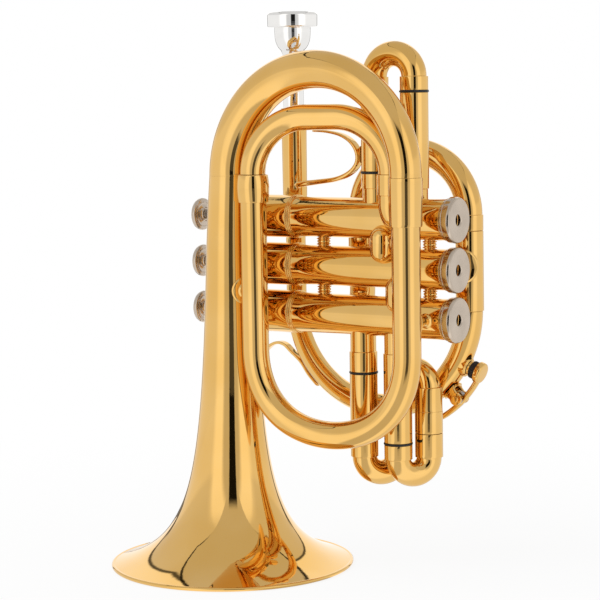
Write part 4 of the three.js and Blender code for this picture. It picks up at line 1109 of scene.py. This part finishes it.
class TRUMPET_OT_water_key(Builder, bpy.types.Operator):
    """The water key: nipple, saddle with its screw and spring, lever with its cup, and cork"""

    bl_idname = "trumpet.water_key"
    bl_label = "Water key"

    def build(self, scene):
        seat = on_bow(FRONT_BOW_R, -30.8)
        lean = np.radians(-20)
        out = np.array([np.cos(lean), 0, np.sin(lean)])
        rows = [
            (2, 0), (2, 5.4), (6.6, 5.2), (7.0, 4.6), (7.4, 4.4), (7.5, 3.7), (8.6, 3.6), (8.6, 1.9),
            (7, 1.9), (7, 0),
        ]
        piece("water_key_nipple", [solid_turned(seat, out, rows, 0.2, 48)], "brass")

        rows = [(8.9, 0), (8.9, 4.3), (9.3, 4.5), (13.1, 4.5), (13.1, 0)]
        shell = solid_turned(seat, out, rows, 0.2, 48)
        dressed("water_key_cork", shell, metal="black", body="water_key")

        hinge = on_bow(FRONT_BOW_R + 12, -44.6)
        outward = unit(hinge - on_bow(0, 0))
        rows = [
            (13.4, 0), (13.4, 4.85), (12.2, 4.85), (12.2, 5.35), (12.5, 5.5), (14.2, 5.45), (14.9, 5.2),
            (15.3, 4.6), (15.4, 0),
        ]
        cup = solid_turned(seat, out, rows, 0.25, 56)
        # The arm follows the bow, 14 mm further out, and swells by 0.3 mm between its ends.
        along = np.linspace(0, 1, 12)
        radii = FRONT_BOW_R + 14.0 + 0.3 * np.sin(3 * along) - 0.3 * along
        arm = band(Line(on_bow(radii, np.linspace(-30, -58.2, 12)), Y), 2.8, 3.4, section=rounded)
        knuckle = solid_turned(hinge, Y, mirrored([(-2.4, 0), (-2.4, 2.6)]), 0.3, 40)
        web = lug(hinge, outward, [(0, 0, 0), (0.1, 1.9, 2.2), (1.9, 2.4, 1.6), (2.0, 0, 0)])
        dressed("water_key_lever", cup, arm, knuckle, web, body="water_key")

        line = Line(on_bow(np.full(9, FRONT_BOW_R + 7.1), np.linspace(-39.2, -50.2, 9)), Y)
        screw = mirrored([(-5.6, 0), (-5.6, 1.6), (-4.7, 1.9), (-4.6, 1.1)])
        shells = [band(line, 1.3, 9.4), solid_turned(hinge, Y, screw, 0.15, 32)]
        foot = [(0, 0, 0), (0.05, 2.4, 0.7), (4, 2.9, 0.75), (5.6, 4.2, 0.75), (5.65, 0, 0)]
        for side in (-1, 1):
            ear = [(3.1 * side, 0), (3.1 * side, 3.2), (4.6 * side, 3.2), (4.6 * side, 0)]
            shells.append(solid_turned(hinge, Y, ear, 0.25, 40))
            shells.append(lug(hinge + side * 3.85 * Y, -outward, foot, 24))
        dressed("water_key_saddle", *shells)

        piece("water_key_spring", [coil(hinge - 0.4 * outward, Y, 3.1, 0.38, 3.6, 0.9)], "steel")


class TRUMPET_OT_braces(Builder, bpy.types.Operator):
    """The braces from the bell to the tail, and from the valves to the loop and to the tail"""

    bl_idname = "trumpet.braces"
    bl_label = "Braces"

    def build(self, scene):
        loop, bow = (LOOP_X, FAR_Y), (BOW_X, 0)
        loop_end, bow_end = (LOOP_X - 2, VALVE_Y), (BOW_X + 2, VALVE_Y)
        height = 141
        bell = (height * BELL_LEAN, 0)
        braces = [
            ("bell_brace", bell, bell_radius, TAIL_LEG, height, 6.8, 3.2, 6.7),
            ("loop_brace", loop, lambda z: 7.1 + 0 * z, loop_end, VALVE_Z[1], 8.6, 3, 9.8),
            ("tail_brace", bow, lambda z: 7.05 + 0 * z, bow_end, VALVE_Z[2], 5.8, 3, 9.8),
        ]
        for name, centre, radius_at, other, z, plate, post, stop in braces:
            line = np.array(other) - centre
            turn = np.arctan2(line[1], line[0])
            rows = [(plate - 0.3, -0.2), (plate, 0.1), (plate, 0.55), (plate - 0.9, 1.0)]
            plate_shell = saddle(centre, radius_at, z, turn, [(0, -0.2), *rows, (0, 1.05)])
            near = radius_at(np.array(float(z))) + 0.4
            reach = np.linalg.norm(line) - stop
            rows = [
                (near, 0), (near, post + 1.1), (near + 0.9, post + 0.5), (near + 1.4, post),
                ((near + reach) / 2, post * 0.86), (reach - 1.4, post), (reach - 0.8, post + 0.5),
                (reach, post + 0.9), (reach, 0),
            ]
            axis = Route((*centre, z), (*unit(line), 0), Z)
            rows = refined(eased(rows, 0.4, looped=False), 0.5, False)
            dressed(name, plate_shell, carried(axis, rows, 40, looped=False))


class TRUMPET_OT_mouthpiece(Builder, bpy.types.Operator):
    """The silver mouthpiece"""

    bl_idname = "trumpet.mouthpiece"
    bl_label = "Mouthpiece"

    def build(self, scene):
        tip = 207
        shank = [(tip, 4.75), (232.9, 5.5), (246, 5.35), (255, 5.3), (258, 5.4), (260, 6.2)]
        cup = [(261.5, 7.4), (263.2, 8.4), (265.9, 9.3), (269, 9.6), (271.6, 9.7)]
        rim = [
            (272.2, 9.75), (272.4, 12.7), (272.9, 13.3), (279.0, 13.4), (280.0, 12.7), (280.45, 11.8),
            (280.5, 11.0), (280.1, 9.6), (279.0, 8.6),
        ]
        bowl = [(279.0, 8.6), (275, 8.3), (270.5, 7.2), (266.6, 4.6), (264.6, 2.5), (264, 1.9)]
        bore = [(262, 1.85), (tip, 3.9)]
        outside, rim = smooth_line(shank + cup, 5), eased(rim, 0.5, 5, looped=False)
        rows = np.vstack([outside, rim, smooth_line(bowl, 6)[1:], bore])
        shell = carried(spindle((LEAD_X, FAR_Y, 0), Z), rows, 88)
        dressed("mouthpiece", shell, metal="silver", body="mouthpiece")


class TRUMPET_OT_inner_works(Builder, bpy.types.Operator):
    """Steel for the pistons and springs, which keep their solids"""

    bl_idname = "trumpet.inner_works"
    bl_label = "Pistons and springs"

    def build(self, scene):
        for number in (1, 2, 3):
            for name in (f"piston_{number}", f"valve_spring_{number}"):
                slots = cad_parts[name].data.materials
                slots.clear()
                slots.append(finish("steel"))


class TRUMPET_OT_studio(Builder, bpy.types.Operator):
    """The floor, the lamp, the reflected panels and the camera"""

    bl_idname = "trumpet.studio"
    bl_label = "Studio"

    def build(self, scene):
        scene.view_settings.view_transform = "Standard"
        self.camera(scene)
        self.floor(scene)
        self.lamp()
        self.world(scene)

    def camera(self, scene):
        """A long lens at the photograph's place, turned by CAMERA_TURN and then tilted and rolled."""
        pitch, roll = np.radians([5.95, -0.9])
        level = np.array([np.cos(CAMERA_TURN), np.sin(CAMERA_TURN), 0])
        ahead = np.cos(pitch) * np.array([-level[1], level[0], 0]) - np.sin(pitch) * Z
        rise = np.cross(level, ahead)
        right = np.cos(roll) * level + np.sin(roll) * rise
        up = np.cos(roll) * rise - np.sin(roll) * level
        data = bpy.data.cameras.new("camera")
        data.lens = 120
        data.sensor_width = 36
        camera = placed("camera", data)
        turn = Matrix(np.stack([right, up, -ahead], 1).tolist()).to_4x4()
        camera.matrix_world = Matrix.Translation(Vector((0.5783, -0.8235, 0.2394))) @ turn
        scene.camera = camera

    def floor(self, scene):
        """A white floor: for the camera it fades to plain white away from the trumpet's shadow, and for
        the metal it goes on like the panels that stand on it."""
        mesh = bpy.data.meshes.new("floor")
        reach, z = 6.0, -0.0003
        corners = [(-reach, -reach, z), (reach, -reach, z), (reach, reach, z), (-reach, reach, z)]
        mesh.from_pydata(corners, [], [(0, 1, 2, 3)])
        floor = placed("floor", mesh)
        material = bpy.data.materials.new("white floor")
        sheet = Sheet(material)
        middle = (0.04, 0.01, 0)
        away = sheet.vector("SUBTRACT", sheet.place(), middle)
        distance = sheet.vector("LENGTH", away, output=1)
        heading = sheet.vector("NORMALIZE", away)
        level = panels(sheet, scene.trumpet_studio, heading, sheet.soft_step(distance, 0.3, 0.48))
        shadow = sheet.soft_step(distance, 0.45, 0.1)
        camera, glossy = sheet.rays("Camera", "Glossy")
        seen = camera * (1 - shadow * 0.12) + glossy * 0.9
        matt = sheet.value("ShaderNodeBsdfDiffuse", {}, {"Color": (0.9, 0.9, 0.9, 1)})
        white = sheet.value("ShaderNodeEmission", {}, {"Color": 1 + glossy * (level - 1), "Strength": 1})
        both = sheet.value("ShaderNodeMixShader", {}, {0: seen, 1: matt, 2: white})
        sheet.node("ShaderNodeOutputMaterial", {}, {"Surface": both})
        mesh.materials.append(material)

    def lamp(self):
        """A large soft lamp above the camera's left shoulder, which the metal doesn't mirror."""
        data = bpy.data.lights.new("softbox", "AREA")
        data.size = 1.2
        data.energy = 9
        lamp = placed("softbox", data)
        place, aim = Vector((-0.7, -0.9, 1.5)), Vector((0.05, 0, 0.1))
        lamp.location = place
        lamp.rotation_mode = "QUATERNION"
        lamp.rotation_quaternion = (place - aim).to_track_quat("Z", "Y")
        lamp.visible_glossy = False

    def world(self, scene):
        """The panels round the trumpet, which only its metal sees; the camera sees plain white."""
        scene.world = bpy.data.worlds.new("studio")
        sheet = Sheet(scene.world)
        heading = sheet.value("ShaderNodeTexCoord", {}, {}, "Generated")
        level = panels(sheet, scene.trumpet_studio, heading)
        camera, glossy, glass = sheet.rays("Camera", "Glossy", "Transmission")
        other = (1 - camera) * (1 - glossy) * (1 - glass)
        strength = camera + glass * (1 - camera) + glossy * level + other * 0.8
        light = sheet.value("ShaderNodeBackground", {}, {"Color": (1, 1, 1, 1), "Strength": strength})
        sheet.node("ShaderNodeOutputWorld", {}, {"Surface": light})


def panels(sheet, look, heading, slit_share=1.0):
    """The studio's level in a direction, from its parts to the side, to the front, where the camera
    stands, and up: each panel is a product of soft steps of those parts, and is mixed over the last."""
    across, forward = np.cos(CAMERA_TURN), np.sin(CAMERA_TURN)
    parts = ((across, forward, 0), (forward, -across, 0), (0, 0, 1))
    side, front, up = (sheet.vector("DOT_PRODUCT", heading, part, output=1) for part in parts)
    step = sheet.soft_step
    wide = abs(side - 0.05)

    # Dim cards beside the camera, bright panels next to them, then the side panels. Higher up all go
    # over into the side panels' level, and are a little darker.
    level = look.dim + step(front, 0.93, 0.84) * (look.near - look.dim)
    level = level + step(front, 0.65, 0.4) * (look.side - look.near)
    level = level + step(up, 0.45, 0.7) * (look.side - level)
    level = level * (1 - step(up, 0.15, 0.45) * 0.05)
    level = level * (1 - step(up, 0.12, 0.2) * step(front, 0.62, 0.52) * 0.14)

    # A white wall behind, in a dark frame that is thinner higher up.
    beside = sheet.math("MAXIMUM", wide + front * 0.55, up - 0.72)
    rim = step(abs(beside - 0.06), 0.08, 0.05)
    rim = rim * (1 - step(up, 0.12, 0.24) * step(beside, 0.02, 0.05))
    level = level + step(beside, 0.01, -0.01) * (look.back - level)
    level = level * (1 - rim * step(front, -0.2, -0.4) * 0.85)

    # A darker strip overhead, wider the higher it is looked at and narrower towards the back. It has
    # thin black edges, except towards the camera.
    over = wide - up * 0.75 - sheet.math("MINIMUM", front, 0.0) * 0.45
    ceiling = step(over, 0.012, -0.012) * step(up, 0.2, 0.32)
    level = level * (1 - ceiling) + ceiling * look.ceiling
    edge = step(abs(over), 0.02, 0.006) * step(up, 0.3, 0.6) * step(front, 0.5, 0.1)

    # The dark slit in front, where the camera stands.
    slit = step(wide, look.slit * 1.15, look.slit * 0.9) * step(front, 0.2, 0.5) * step(up, 0.5, 0.36)
    return level * (1 - edge * 0.95) * (1 - slit * slit_share * 0.985)


OPERATORS = (
    TRUMPET_OT_studio,
    TRUMPET_OT_bell,
    TRUMPET_OT_bell_bow,
    TRUMPET_OT_tail,
    TRUMPET_OT_casings,
    TRUMPET_OT_caps,
    TRUMPET_OT_knuckles,
    TRUMPET_OT_leadpipe,
    TRUMPET_OT_first_slide,
    TRUMPET_OT_second_slide,
    TRUMPET_OT_third_slides,
    TRUMPET_OT_pinky_hook,
    TRUMPET_OT_water_key,
    TRUMPET_OT_braces,
    TRUMPET_OT_mouthpiece,
    TRUMPET_OT_inner_works,
)
SETTINGS = {
    "trumpet_finish": TrumpetFinish,
    "trumpet_bell": TrumpetBell,
    "trumpet_tubes": TrumpetTubes,
    "trumpet_studio": TrumpetStudio,
}


class TRUMPET_PT_panel(bpy.types.Panel):
    """Lists the settings and the pieces that can be built."""

    bl_label = "Pocket trumpet"
    bl_space_type = "VIEW_3D"
    bl_region_type = "UI"
    bl_category = "Trumpet"

    def draw(self, context):
        for key, group in SETTINGS.items():
            box = self.layout.box()
            for name in group.__annotations__:
                box.prop(getattr(context.scene, key), name)
        for operator in OPERATORS:
            self.layout.operator(operator.bl_idname)


CLASSES = (*SETTINGS.values(), *OPERATORS, TRUMPET_PT_panel)


def register():
    for each in CLASSES:
        bpy.utils.register_class(each)
    for key, group in SETTINGS.items():
        setattr(bpy.types.Scene, key, bpy.props.PointerProperty(type=group))


def unregister():
    for key in SETTINGS:
        delattr(bpy.types.Scene, key)
    for each in reversed(CLASSES):
        bpy.utils.unregister_class(each)


def main():
    register()
    for operator in OPERATORS:
        group, name = operator.bl_idname.split(".")
        getattr(getattr(bpy.ops, group), name)()


if __name__ == "__main__":
    main()
